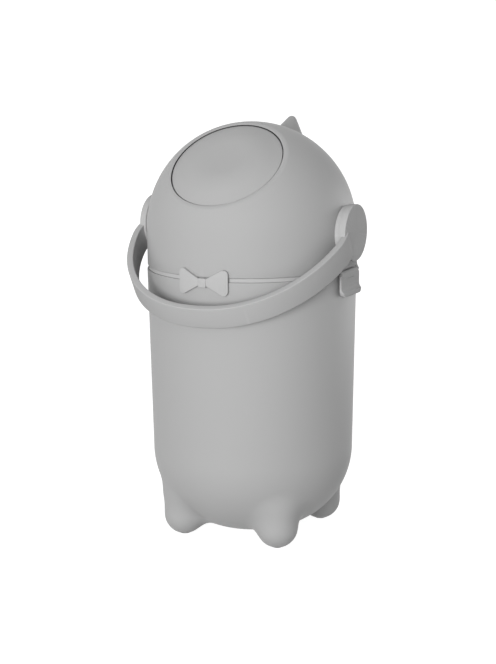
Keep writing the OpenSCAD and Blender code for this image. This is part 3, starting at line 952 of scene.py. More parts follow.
@dataclass
class Dome:
    """The head: a dome with a skirt, a tilted hatch hole and a crest at the back.

    Args:
        radius: outer radius of dome and skirt.
        centre_z: height of the dome's centre.
        skirt_z: height of the skirt's lower edge.
        wall: thickness of the moulding.
        tilt: tilt of the hatch towards the front, in degrees.
        hatch_r: radius of the hatch hole.
        crest: centre of the crest's rounded tip.
        crest_tilt: tilt of the crest to the back, in degrees.
        crest_r: radius of its tip.
        crest_flank: angle between its axis and its flank, in degrees.
        crest_blend: width of the soft blend into the dome.
        land_h: height of the flat land round the flap, along the hatch's axis.
        land_w: width of the land with its soft roll up to the dome.
        hole_inset: how far the land's edge stands inside the hole's radius.
        warp: how much the columns crowd towards the crest.
        cols: how many columns go round.
    """

    radius: float = 113.0
    centre_z: float = 336.0
    skirt_z: float = 297.5
    wall: float = 2.6
    tilt: float = 38.4
    hatch_r: float = 61.8
    crest: Point = (0.0, 102.3, 443.7)
    crest_tilt: float = 27.2
    crest_r: float = 5.6
    crest_flank: float = 31.1
    crest_blend: float = 9.0
    land_h: float = 92.1
    land_w: float = 5.6
    hole_inset: float = 0.6
    warp: float = 0.55
    cols: int = 300

    def hatch_frame(self) -> Matrix:
        """The hatch's own frame: Z along its axis, Y up the slope."""
        return Matrix.Translation((0, 0, self.centre_z)) @ Matrix.Rotation(math.radians(self.tilt), 4, "X")

    def _crest_gap(self, p: np.ndarray, inset: float) -> np.ndarray:
        """Distance outside the crest, a rounded cone, drawn in by an inset.

        Args:
            p: points, (..., 3).
            inset: how far the surface is drawn in.

        Returns:
            The signed distances, negative inside.
        """
        g, flank = math.radians(self.crest_tilt), math.radians(self.crest_flank)
        down = np.array([0.0, -math.sin(g), -math.cos(g)])
        v = p - np.array(self.crest)
        along = v @ down
        across = np.sqrt(np.maximum((v * v).sum(-1) - along * along, 0))
        side = across * math.cos(flank) - along * math.sin(flank) - self.crest_r
        tip = np.sqrt(across ** 2 + along ** 2) - self.crest_r
        cone = np.where(along * math.cos(flank) + across * math.sin(flank) > 0, side, tip)
        return np.maximum(cone, np.hypot(p[..., 0], p[..., 1]) - self.radius) + inset

    def _turns(self) -> np.ndarray:
        """Angles of the columns, which crowd towards the crest."""
        u = around(self.cols)
        return u - self.warp * np.sin(u - math.pi / 2)

    def _ways(self, hatch_angle: float, steps: int) -> np.ndarray:
        """Directions from the dome's centre, from the hatch's circle down to the equator.

        Args:
            hatch_angle: angle of the circle about the hatch's axis, in radians.
            steps: how many rings.

        Returns:
            Unit vectors (steps, columns, 3).
        """
        turn, t = self._turns(), math.radians(self.tilt)
        ring = np.stack([
            math.sin(hatch_angle) * np.cos(turn),
            math.sin(hatch_angle) * np.sin(turn) * math.cos(t) - math.cos(hatch_angle) * math.sin(t),
            math.sin(hatch_angle) * np.sin(turn) * math.sin(t) + math.cos(hatch_angle) * math.cos(t)], axis=1)
        equator = np.stack([np.cos(turn), np.sin(turn), np.zeros_like(turn)], axis=1)
        angle = np.arccos(np.clip((ring * equator).sum(1), -1, 1))[:, None]
        s = np.linspace(0, 1, steps)[:, None, None]
        return (np.sin((1 - s) * angle) * ring + np.sin(s * angle) * equator) / np.sin(angle)

    def _dome_rows(self, radius: float, hatch_r: float, steps: int, inset: float) -> np.ndarray:
        """Rings of the dome with the crest drawn out of it, from the hatch to the equator.

        Args:
            radius: radius of the dome's surface.
            hatch_r: radius of the first ring.
            steps: how many rings.
            inset: how far the crest is drawn in.

        Returns:
            Array (steps, columns, 3).
        """
        ways = self._ways(math.asin(hatch_r / radius), steps)
        middle = np.array([0, 0, self.centre_z])
        blend_low, blend_span, blend_min = 350, 40, 0.3

        def gap(p: np.ndarray) -> np.ndarray:
            """Distance outside dome and crest, whose blend widens with height."""
            width = blend_min + self.crest_blend * ease((p[..., 2] - blend_low) / blend_span)
            return soft_min(np.linalg.norm(p - middle, axis=-1) - radius, self._crest_gap(p, inset), width)

        return reach(gap, np.broadcast_to(middle, ways.shape), ways, radius - 6, radius + 60)

    def _collar(self, path: Outline) -> np.ndarray:
        """Rings about the hatch's axis: radius and height along it."""
        frame, one = np.array(self.hatch_frame()), np.ones((self.cols, 1))
        return np.stack([(np.hstack([ring, one]) @ frame.T)[:, :3] for ring in level_rings(path, self._turns())])

    def build(self) -> bpy.types.Object:
        """Makes the head as one closed ring-shaped shell.

        Returns:
            The head.
        """
        r_in = self.radius - self.wall
        outer = self._dome_rows(self.radius, self.hatch_r + self.land_w, 120, 0.0)
        skirt = level_rings([(self.radius, 325), (self.radius, 312)]
                            + arc(self.radius - 0.6, self.skirt_z + 0.6, 0.6, 0, -90, 3)
                            + arc(r_in + 0.5, self.skirt_z + 0.5, 0.5, -90, -180, 3)
                            + [(r_in, 305.5), (106.8, 305.5), (106.8, 307.5), (r_in, 307.5), (r_in, 322)],
                            self._turns())
        inner = self._dome_rows(r_in, self.hatch_r + 3.3, 60, self.wall)[::-1]
        lip = 0.35
        wall_foot = [(self.hatch_r + 3.3, 88.2), (self.hatch_r + 2.9, 87.4), (self.hatch_r - 0.4, 87.4)]
        edge = arc(self.hatch_r - self.hole_inset + lip, self.land_h - lip, lip, 180, 90, 4)
        rows = np.concatenate([outer, skirt, inner, self._collar(wall_foot + edge + self._roll())])
        obj = Shaper.smooth(Shaper.loft("head_moulding", rows, loop=True), 50)
        obj.data.materials.append(SHELL.material())
        # Second slot: the dark rubber finish, painted on the collar's wall in the gap round the flap as painted shade
        obj.data.materials.append(RUBBER_AND_GAP_SHADE.material())
        self._paint_gap_shade(obj)
        return own(obj, Body.HEAD, Slot.SHELL, SHELL, "head_shell")

    def _paint_gap_shade(self, obj: bpy.types.Object) -> None:
        """Paints the collar's wall, deep in the gap round the flap, with the dark rubber finish as painted shade.

        Args:
            obj: the head's piece, with the dark painted-shade finish in its second slot.
        """
        back = self.hatch_frame().inverted()
        for face in obj.data.polygons:
            p = back @ (face.center / MM)
            if math.hypot(p.x, p.y) < self.hatch_r - 0.1 and p.z < self.land_h - 0.3:
                face.material_index = 1

    def _roll(self) -> list[tuple[float, float]]:
        """The soft roll from the flat land round the flap up to the dome, as radius and height.

        Returns:
            The points, from the land outwards.
        """
        end_r = self.hatch_r + self.land_w
        slope = math.asin(end_r / self.radius)
        end_h = math.sqrt(self.radius ** 2 - end_r ** 2)
        start = (self.hatch_r + 1.0, self.land_h)
        knee = (end_r - (self.land_h - end_h) / math.tan(slope), self.land_h)
        steps = [i / 10 for i in range(10)]
        return [((1 - t) ** 2 * start[0] + 2 * t * (1 - t) * knee[0] + t * t * end_r,
                 (1 - t) ** 2 * start[1] + 2 * t * (1 - t) * knee[1] + t * t * end_h) for t in steps]


@dataclass
class Flap:
    """The hatch's flap: a flat face with a broad dish, rounded down to its edge.

    Args:
        dome: the head that it sits in.
        radius: outer radius.
        edge_h: height of its edge along the hatch's axis.
        flat_r: radius of the flat middle.
        turn_r: radius at which the flank begins.
        slope: slope of the flank, in degrees.
        edge_round: radius of the rolled edge.
        foot_h: height of the skirt's foot.
        dish_u: how far the dish's middle lies up the slope.
        dish_r: radius of the dish.
        dish_depth: depth of the dish.
        cols: how many columns go round.
    """

    dome: Dome
    radius: float = 60.1
    edge_h: float = 91.3
    flat_r: float = 24.0
    turn_r: float = 48.0
    slope: float = 25.0
    edge_round: float = 0.5
    foot_h: float = 85.8
    dish_u: float = 6.0
    dish_r: float = 34.0
    dish_depth: float = 0.7
    cols: int = 192

    def _top(self) -> list[tuple[float, float]]:
        """Radius and height of the face, from the middle to the foot of the skirt.

        Returns:
            The points.
        """
        steep = math.radians(self.slope)
        bend = (self.turn_r - self.flat_r) / math.sin(steep)
        rim = self.radius - self.edge_round * (1 - math.sin(steep))
        crown = bend * (1 - math.cos(steep)) + (rim - self.turn_r) * math.tan(steep)
        high = self.edge_h + crown
        path = [(r, high) for r in np.linspace(0.4, self.flat_r, 9)[:-1]]
        path += [(self.flat_r + bend * math.sin(a), high - bend * (1 - math.cos(a)))
                 for a in np.linspace(0, steep, 22)]
        path += [(r, self.edge_h + (rim - r) * math.tan(steep)) for r in np.linspace(self.turn_r, rim, 9)[1:]]
        centre = (self.radius - self.edge_round, self.edge_h - self.edge_round * math.cos(steep))
        path += arc(centre[0], centre[1], self.edge_round, 90 - self.slope, 0, 5)[1:]
        return path + [(self.radius, self.foot_h)]

    def build(self) -> bpy.types.Object:
        """Makes the flap's face as a closed shell.

        Returns:
            The flap's face.
        """
        wall = 2.4
        top = self._top()
        under = [(self.radius - wall, self.foot_h), (self.radius - wall, self.edge_h - 4)]
        under += [(r - 0.9 * wall * min(1.0, r / 60), h - wall) for r, h in top[:38][::-3] if r > 3]
        turn, frame = around(self.cols), np.array(self.dome.hatch_frame())
        dished = len(top) - 6  # the rings before the rolled edge
        rows = []
        for i, (r, h) in enumerate(top + under):
            x, y = r * np.cos(turn), r * np.sin(turn)
            gap = np.hypot(x, y - self.dish_u) / self.dish_r
            dish = self.dish_depth * np.clip(1 - gap * gap, 0, 1) ** 2 if i < dished else np.zeros_like(x)
            rows.append(np.stack([x, y, h - dish, np.ones_like(x)], axis=1) @ frame.T)
        obj = Shaper.loft("flap_face", np.stack(rows)[..., :3])
        return own(Shaper.smooth(obj, 45), Body.FLAP, Slot.SHELL, SHELL, "flap_cap")


@dataclass
class Bail:
    """The handle: a flat band bent round the front, with a round disc at each end.

    The left half is modelled, and the right one is its mirror image.

    Args:
        pivot_z: height of the pivots.
        droop: droop of the resting handle below the horizontal, in degrees.
        half: half the outer width of the arch.
        reach: outer reach of the arch from the pivots.
        power: exponent of the arch's superellipse.
        width_end: width of the band at the pivots.
        width_mid: width of the band at its middle.
        thick: thickness of the band at its middle.
        thick_end: thickness of the band at the pivots.
        sag: sag of the middle below the plane of the arms.
        disc_r: radius of the discs.
        disc_in: distance of a disc's inner face from the axis.
        disc_out: distance of its outer face.
        cap_r: radius of the caps.
        cap_deep: depth of the recess that a cap fills.
    """

    pivot_z: float = 336.0
    droop: float = 28.5
    half: float = 127.3
    reach: float = 153.0
    power: float = 2.2
    width_end: float = 28.5
    width_mid: float = 24.3
    thick: float = 7.0
    thick_end: float = 6.4
    sag: float = 6.0
    disc_r: float = 29.9
    disc_in: float = 115.3
    disc_out: float = 122.4
    cap_r: float = 25.0
    cap_deep: float = 2.0

    def _station(self, a: np.ndarray) -> np.ndarray:
        """Place of the band's middle line across and along the arms, for an angle of the arch.

        Args:
            a: angles of the arch, 0 at its middle.

        Returns:
            Array (stations, 2): across, and along the arms.
        """
        mid_half, mid_reach = self.half - self.thick / 2, self.reach - self.thick / 2
        s = mid_reach * np.abs(np.cos(a)) ** (2 / self.power)
        free = mid_half * np.maximum(1 - np.minimum(s / mid_reach, 1) ** self.power, 0) ** (1 / self.power)
        disc_mid, leave, blend = (self.disc_in + self.disc_out) / 2, 8, 34
        x = disc_mid + (free - disc_mid) * ease((s - leave) / blend)
        return np.stack([np.sign(np.sin(a)) * np.where(s >= mid_reach, 0, x), s], axis=-1)

    def _band(self) -> bpy.types.Object:
        """The bent band, as a sweep of a rounded strip.

        Returns:
            The band.
        """
        count, corner, round_r, end, nudge = 161, 5, 1.0, 84.5, 0.003
        a = np.radians(np.linspace(-end, end, count))
        place = self._station(a)
        tangent = self._station(a + nudge) - self._station(a - nudge)
        normal = np.stack([tangent[:, 1], -tangent[:, 0]], axis=1)
        normal /= np.linalg.norm(normal, axis=1)[:, None]
        along = place[:, 1] / (self.reach - self.thick / 2)
        wide = (self.width_end + (self.width_mid - self.width_end) * along) / 2 - round_r
        thick = (self.thick_end + (self.thick - self.thick_end) * ease(place[:, 1] / 40)) / 2 - round_r
        section = []
        for sx, sy, start in ((1, 1, 0), (-1, 1, 90), (-1, -1, 180), (1, -1, 270)):
            for c in range(corner + 1):
                b = math.radians(start + 90 * c / corner)
                section.append((sx, sy, round_r * math.cos(b), round_r * math.sin(b)))
        droop = math.radians(self.droop)
        rows = []
        for i in range(count):
            ring = []
            for sx, sy, dx, dy in section:
                out = sx * thick[i] + dx
                up = sy * wide[i] + dy - self.sag * along[i] ** 2
                x = -(place[i, 0] + normal[i, 0] * out)
                y = -(place[i, 1] + normal[i, 1] * out)
                ring.append((x, y * math.cos(droop) - up * math.sin(droop),
                             self.pivot_z + y * math.sin(droop) + up * math.cos(droop)))
            rows.append(ring)
        return Shaper.loft("handle", np.array(rows))

    def _turned(self, name: str, profile: Outline, cols: int = 128) -> bpy.types.Object:
        """A solid turned about the pivots at the left: radius and distance from the middle."""
        return Shaper.revolve(name, profile, cols, side_frame(Side.LEFT, self.pivot_z))

    def _disc(self) -> bpy.types.Object:
        """The left disc, with a crisp outer edge.

        Returns:
            The disc.
        """
        rim = 0.5
        profile = ([(0.4, self.disc_in), (self.disc_r - 0.4, self.disc_in)]
                   + arc(self.disc_r - 0.4, self.disc_in + 0.4, 0.4, -90, 0, 2)
                   + arc(self.disc_r - rim, self.disc_out - rim, rim, 0, 90, 4) + [(0.4, self.disc_out)])
        return self._turned("disc", profile, 160)

    def _recess(self) -> bpy.types.Object:
        """The left recess that the cap sits in, with the bolt's hole behind it.

        Returns:
            The solid that is cut out.
        """
        deep, wide = self.disc_out - self.cap_deep, self.cap_r + 0.08
        return self._turned("recess", [(0.2, 110), (5.05, 110), (5.05, 117.3), (9.2, 117.3), (9.2, deep),
                                       (wide, deep), (wide, 127), (0.2, 127)])

    def _cap(self, side: Side, solid: bpy.types.Object) -> bpy.types.Object:
        """The cap of one end, cut from the handle's own solid at the left and mirrored to the right.

        Args:
            side: the side of the bin.
            solid: the handle before its recesses are cut.

        Returns:
            The cap.
        """
        cap = solid.copy()
        cap.data = solid.data.copy()
        bpy.context.collection.objects.link(cap)
        cap.name = f"cap_cover_{side.name.lower()}"
        deep = self.disc_out - self.cap_deep
        Shaper.meet(cap, self._turned("plug", [(0.2, deep), (self.cap_r, deep), (self.cap_r, 128), (0.2, 128)]))
        if side is Side.RIGHT:
            cap.data.transform(Matrix.Scale(-1, 4, (1, 0, 0)))
            cap.data.flip_normals()
        return own(Shaper.smooth(cap, 30), Body.HANDLE, Slot.TRIM, BAND, f"handle_cap_{side.name.lower()}")

    def build(self) -> list[bpy.types.Object]:
        """Makes the handle and the two caps.

        Returns:
            The handle and its caps.
        """
        band = Shaper.unite(self._band(), [self._disc()])
        caps = [self._cap(side, band) for side in Side]
        Shaper.cut(band, [self._recess()])
        Shaper.mirror_left(band)
        band.name = "handle_moulding"
        return [own(Shaper.smooth(band, 30), Body.HANDLE, Slot.TRIM, BAND, "handle_bail"), *caps]


@dataclass
class Boss:
    """A round boss on the dome, with a shadow gap at its foot and a flat pad below.

    Args:
        side: the side of the bin.
        dome: the head that it stands on.
        face: distance of its face from the axis.
        radius: its radius.
        gap: width and depth of the shadow gap at its foot.
        pad_half: half the width of the pad.
        pad_x: distance of the pad's face from the axis.
        pad_low: height of the pad's lower edge.
        cols: how many columns go round.
    """

    side: Side
    dome: Dome
    face: float = 115.0
    radius: float = 28.5
    gap: float = 0.9
    pad_half: float = 24.0
    pad_x: float = 113.3
    pad_low: float = 297.5
    cols: int = 160

    def _dome_x(self, y: np.ndarray, z: np.ndarray) -> np.ndarray:
        """Distance of the dome's surface from the middle plane, at a height over the pivots."""
        return np.sqrt(self.dome.radius ** 2 - y * y - np.where(z > 0, z, 0.0) ** 2)

    def _round(self) -> bpy.types.Object:
        """The round part, with its rolled edge and the gap at its foot.

        Returns:
            The round part.
        """
        turn = around(self.cols)
        c, n = np.cos(turn), np.sin(turn)
        foot = self._dome_x(self.radius * c, self.radius * n)
        roll, inner = 0.6, self.radius - self.gap
        step = np.minimum(self.gap, 0.4 * (self.face - foot))
        full = np.full_like(c, self.radius)
        rings: list[tuple[np.ndarray, np.ndarray]] = [(np.full_like(c, 3.5), np.full_like(c, self.face))]
        rings += [(np.full_like(c, self.radius - roll + roll * math.sin(a)),
                   np.full_like(c, self.face - roll + roll * math.cos(a))) for a in np.linspace(0, math.pi / 2, 5)]
        rings += [(full, foot + step + 0.2), (full - 0.2, foot + step), (np.full_like(c, inner), foot + step),
                  (np.full_like(c, inner), foot - 1.2),
                  (np.full_like(c, 3.5), np.full_like(c, self.dome.radius - 1.6))]
        s = self.side.value
        rows = np.stack([np.stack([s * x, r * c, self.dome.centre_z + r * n], axis=1) for r, x in rings])
        return Shaper.loft(f"boss_{self.side.name.lower()}", rows, loop=True)

    def _pad(self) -> bpy.types.Object:
        """The flat pad, with its lower corners rounded, down to the dome's wall.

        Returns:
            The pad.
        """
        top = self.dome.centre_z - 18
        half, low, r = self.pad_half, self.pad_low, 2.5
        outline = (arc(-half + r, low + r, r, 180, 270, 5) + arc(half - r, low + r, r, 270, 360, 5)
                   + [(half, top), (-half, top)])
        pad = Shaper.plate("pad", outline, 104.0, self.pad_x, self.side)
        Shaper.bevel(pad, 0.5, 3, 50)
        core = Shaper.revolve("core", [(0.1, low - 8), (self.dome.radius - 1.4, low - 8),
                                       (self.dome.radius - 1.4, top + 12), (0.1, top + 12)], 256)
        return Shaper.cut(pad, [core])

    def build(self, extras: Sequence[bpy.types.Object]) -> bpy.types.Object:
        """Makes the boss with its pad and whatever hangs on it.

        Args:
            extras: solids that are part of the boss.

        Returns:
            The boss.
        """
        body = Shaper.unite(self._round(), [self._pad(), *extras])
        Shaper.cut(body, [self._groove()])
        return own(Shaper.smooth(body, 32), Body.HEAD, Slot.TRIM, TRIM, f"handle_boss_{self.side.name.lower()}")

    def _groove(self) -> bpy.types.Object:
        """The ring groove that the handle's lug runs in.

        Returns:
            The solid that is cut out.
        """
        inner, outer, deep, clear = 20.5, 24.5, self.face - 1.2, self.face + 1
        profile = [(inner, deep), (outer, deep), (outer, clear), (inner, clear)]
        return Shaper.revolve("groove", profile, 96, side_frame(self.side, self.dome.centre_z), loop=True)


@dataclass
class Hinge:
    """The head's hinge on the left: bracket on the body, middle knuckle on the head.

    Args:
        axis: place of the pin across and up.
        knuckle_r: radius of the knuckles.
        half: half the bracket's width.
        middle: half the width of the middle knuckle.
        pin_r: radius of the pin.
    """

    axis: tuple[float, float] = (-117.2, 295.3)
    knuckle_r: float = 3.3
    half: float = 15.0
    middle: float = 8.0
    pin_r: float = 1.5

    def knuckle(self) -> list[bpy.types.Object]:
        """The middle knuckle, which is part of the left boss.

        Returns:
            The knuckle as one solid.
        """
        x, z = self.axis
        shape = (arc(x, z, self.knuckle_r, 150, 330, 24)
                 + [(x + 3.2, z - 0.5), (-113.9, 301.2), (-115.0, 303.2), (x - 1.2, z + 3.0)])
        ear = Shaper.strip("knuckle", shape, 2 * self.middle)
        Shaper.bevel(ear, 0.3, 2, 50)
        return [Shaper.cut(ear, [self._bore(self.pin_r + 0.05)])]

    def _bore(self, radius: float) -> bpy.types.Object:
        """A rod along the pin's axis."""
        return Shaper.strip("bore", arc(self.axis[0], self.axis[1], radius, 0, 345, 23), 60)

    def build(self) -> bpy.types.Object:
        """Makes the bracket on the body.

        Returns:
            The bracket.
        """
        x, z = self.axis
        plate = [(x + 1.2, 270), (-110, 270), (-110, 292), (x + 2.6, 292), (x + 1.2, 291)]
        arm = arc(x, z, self.knuckle_r, 0, 180, 20) + [(x - self.knuckle_r, z - 6), (x + 1.3, z - 11)]
        base = Shaper.strip("hinge", plate, 2 * self.half)
        upper = Shaper.strip("arm", arm + [(x + 1.3, z - self.knuckle_r)], 2 * self.half)
        knuckle = Shaper.strip("round", arc(x, z, self.knuckle_r, 0, 352, 44), 2 * self.half)
        Shaper.unite(base, [Shaper.unite(upper, [knuckle])])
        room = self.middle + 0.3
        gap = Shaper.block("gap", (x - 6, -room, z - self.knuckle_r - 1), (x + 4, room, z + 8))
        Shaper.cut(base, [gap])
        Shaper.bevel(base, 0.35, 2, 40)
        core = Shaper.revolve("core", [(0.1, 262), (113.4, 262), (113.4, 310), (0.1, 310)], 320)
        Shaper.cut(base, [core, self._bore(self.pin_r)])
        return own(Shaper.smooth(base, 35), Body.BIN, Slot.TRIM, TRIM, "hinge_bracket")


@dataclass
class Latch:
    """The side latch: a plate hung on a pin, with a flared lip and five shallow slots.

    Args:
        pivot: place of the pin across and up.
        hub_r: radius of the hub round the pin.
        width: width of the plate.
        low: height of its lower edge.
        inside: distance of the plate's flat back from the middle.
        ear_w: width of each ear that carries the pin.
        ear_x: how far the ears stand out where they meet the pad.
    """

    pivot: tuple[float, float] = (114.0, 295.1)
    hub_r: float = 2.0
    width: float = 48.0
    low: float = 269.8
    inside: float = 113.9
    ear_w: float = 2.2
    ear_x: float = 113.8

    def _profile(self) -> list[tuple[float, float]]:
        """Side view of the plate.

        Returns:
            Points across and up.
        """
        x = self.pivot[0] + self.hub_r
        return (arc(self.pivot[0], self.pivot[1], self.hub_r, 252, 0, 18) + [(x, 281.0)]
                + arc(x + 7, 280, 7, 180, 232, 8) + [(x + 3.4, self.low + 1.1)]
                + arc(x + 2.6, self.low + 0.8, 0.8, 0, -90, 4) + [(self.inside, self.low), (self.inside, 293.2)])

    def _front(self) -> list[tuple[float, float]]:
        """Front outline of the plate, with round lower corners and shoulders beside the ears.

        Returns:
            Points along Y and up.
        """
        half, r, neck = self.width / 2, 8.0, self.width / 2 - self.ear_w - 0.3
        shoulder = self.pivot[1] - 2.3
        return (arc(-half + r, self.low + r, r, 180, 270, 10) + arc(half - r, self.low + r, r, 270, 360, 10)
                + arc(half - 0.8, shoulder - 0.8, 0.8, 0, 90, 3)
                + [(neck, shoulder), (neck, 299), (-neck, 299), (-neck, shoulder)]
                + arc(-half + 0.8, shoulder - 0.8, 0.8, 90, 180, 3))

    def build(self) -> bpy.types.Object:
        """Makes the latch.

        Returns:
            The latch.
        """
        side = Shaper.strip("latch", self._profile(), self.width + 2)
        front = Shaper.plate("front", self._front(), 104.0, 124.0, Side.RIGHT)
        Shaper.meet(side, front)
        Shaper.bevel(side, 0.55, 3, 40)
        clear = Shaper.block("clear", (110, -13.5, 275.5), (114.7, 13.5, 290.5))
        face = self.pivot[0] + self.hub_r
        marks = [Shaper.block("mark", (face - 0.5, y, 288.0), (face + 1, y + 2, 289.2)) for y in (-9, -5, -1, 3, 7)]
        Shaper.cut(side, [clear, *marks])
        return own(Shaper.smooth(side, 35), Body.LATCH, Slot.TRIM, TRIM, "latch_clip")

    def ears(self) -> list[bpy.types.Object]:
        """The two ears of the boss that carry the pin.

        Returns:
            The ears.
        """
        x, z = self.pivot
        shape = (arc(x, z, 1.9, 180, 360, 16) + [(self.ear_x, z + 4.0), (113.3, z + 7.0), (x - 1.9, z + 7.0)])
        made = []
        for s in (-1, 1):
            ear = Shaper.strip("ear", shape, self.ear_w, s * (self.width / 2 - self.ear_w / 2))
            made.append(Shaper.bevel(ear, 0.25, 2, 40))
        return made


@dataclass
class Bow:
    """The bow tie: two wings and a knot, wrapped round the front.

    Args:
        front: radius of the wings' face.
        thick: thickness of the wings.
        height: height of the bow's middle.
        knot_w: width of the knot.
        knot_h: height of the wings at the knot.
        wing: length of a wing.
        tall: height of a wing's end.
        corner: radius of the wings' corners.
        shift: how far the bow sits off the middle.
    """

    front: float = 116.6
    thick: float = 4.3
    height: float = 292.6
    knot_w: float = 8.8
    knot_h: float = 8.5
    wing: float = 24.6
    tall: float = 26.5
    corner: float = 4.8
    shift: float = 0.9

    def _wings(self) -> list[tuple[float, float]]:
        """Front outline of both wings.

        Returns:
            Points across and up from the bow's middle.
        """
        end, tip, k = self.knot_w / 2 + self.wing, self.tall / 2, self.corner
        right = ([(self.knot_w / 2, -self.knot_h / 2 + 0.6)]
                 + arc(end - k - 0.6, -tip + k, k, -112, 4, 8) + arc(end - k - 0.6, tip - k, k, -4, 112, 8)
                 + [(self.knot_w / 2, self.knot_h / 2 - 0.6)])
        return right + [(-x, z) for x, z in right[::-1]]

    def _wrap(self, obj: bpy.types.Object) -> bpy.types.Object:
        """Bends a flat piece, drawn at the front, round the bin's axis.

        Args:
            obj: the flat piece.

        Returns:
            The bent piece.
        """
        for v in obj.data.vertices:
            r, a = -v.co.y, (v.co.x / MM + self.shift) / self.front
            v.co = (r * math.sin(a), -r * math.cos(a), v.co.z)
        Shaper.outwards(obj)
        return obj

    def _sheet(self, name: str, outline: Outline, front: float, edge: float) -> bpy.types.Object:
        """A wrapped plate with rounded edges.

        Args:
            name: its name.
            outline: its front view.
            front: radius of its face.
            edge: width of the rounding.

        Returns:
            The plate.
        """
        obj = Shaper.facing(name, [(x, self.height + z) for x, z in outline],
                            self.front - self.thick, front)
        Shaper.bevel(obj, edge, 4, 40)
        Shaper.slice(obj, 2.0)
        return self._wrap(obj)

    def build(self) -> bpy.types.Object:
        """Makes the bow tie.

        Returns:
            The bow tie.
        """
        bow = self._sheet("bow", self._wings(), self.front, 0.5)
        w, low, high, r = self.knot_w / 2, -5.5, 4.3, 1.4
        knot = (arc(-w + r, low + r, r, 180, 270, 4) + arc(w - r, low + r, r, 270, 360, 4)
                + arc(w - r, high - r, r, 0, 90, 4) + arc(-w + r, high - r, r, 90, 180, 4))
        centre = self._sheet("knot", knot, self.front + 0.8, 0.7)
        Shaper.unite(bow, [centre])
        body_r, head_r, seam = 113.9, 112.6, 297.48
        core = Shaper.revolve("core", [(0.1, 262), (body_r, 262), (body_r, seam), (head_r, seam), (head_r, 320),
                                       (0.1, 320)], 320)
        Shaper.cut(bow, [core])
        return own(Shaper.smooth(bow, 32), Body.HEAD, Slot.TRIM, BOW, "bow_tie")


@dataclass
class Rings:
    """Neck ring, seals and bag ring, each a profile turned round an axis.

    Args:
        dome: the head, for the flap's seal.
    """

    dome: Dome

    def _turn(self, tree: Tree, name: str, outline: Outline, finish: Finish,
              cols: int = 256) -> bpy.types.Object:
        """Turns one closed profile with the tree.

        Args:
            tree: the tree that turns it.
            name: the piece's name.
            outline: radius and height of the profile.
            finish: its finish.
            cols: how many columns go round.

        Returns:
            The ring.
        """
        ring = sum(r for r, _ in outline) / len(outline)
        base = bpy.data.meshes.new(name)
        n = len(outline)
        loop = [(i, (i + 1) % n) for i in range(n)]
        base.from_pydata([((r - ring) * MM, -z * MM, 0) for r, z in outline], loop, [])
        obj = tree.run(name, base, {"Ring radius": ring * MM, "Columns": cols, "Material": finish.material()})
        return Shaper.smooth(obj, 40)

    def build(self) -> list[bpy.types.Object]:
        """Makes the rings.

        Returns:
            The rings.
        """
        tree = turned_tree()
        neck = ([(99.5, 286), (107.6, 286), (107.6, 281), (110.7, 281), (110.7, 293), (111.3, 293)]
                + [(111.6, 293.3), (111.6, 296.9), (111.3, 297.2), (109.6, 297.2), (109.6, 302.6), (109.2, 303),
                   (107.0, 303), (106.6, 302.6), (106.6, 289.4), (106.2, 289), (99.9, 289), (99.5, 288.6)])
        seal = [(106.8, 303), (109.4, 303)] + arc(108.5, 304.3, 0.9, 0, 90, 5) + arc(107.7, 304.3, 0.9, 90, 180, 5)
        bag = ([(95.9, 267.5), (97.6, 267.5), (98, 267.9), (98, 289.3), (105.8, 289.3), (106.2, 289.7),
                (106.2, 290.9), (105.8, 291.3)] + arc(98.5, 288.3, 3, 90, 180, 8) + [(95.5, 267.9)])
        made = [
            own(self._turn(tree, "neck_band", neck, TRIM), Body.BIN, Slot.TRIM, TRIM, "neck_ring"),
            own(self._turn(tree, "neck_gasket", seal, RUBBER_AND_GAP_SHADE), Body.BIN, Slot.SEAL, RUBBER_AND_GAP_SHADE, "neck_seal"),
            own(self._turn(tree, "bag_holder", bag, INNER), Body.RING, Slot.INNER, INNER, "bag_ring")]
        r, foot, high = self.dome.hatch_r, 85.8, 86.3
        flap = ([(r + 0.3, foot), (r + 4.2, foot)]
                + arc(r + 3.6, high, 0.6, 0, 90, 4) + arc(r + 0.9, high, 0.6, 90, 180, 4))
        obj = self._turn(tree, "flap_gasket", flap, RUBBER_AND_GAP_SHADE, 192)
        frame = self.dome.hatch_frame()
        frame.translation = frame.translation * MM
        obj.data.transform(frame)
        made.append(own(obj, Body.FLAP, Slot.SEAL, RUBBER_AND_GAP_SHADE, "flap_seal"))
        return made


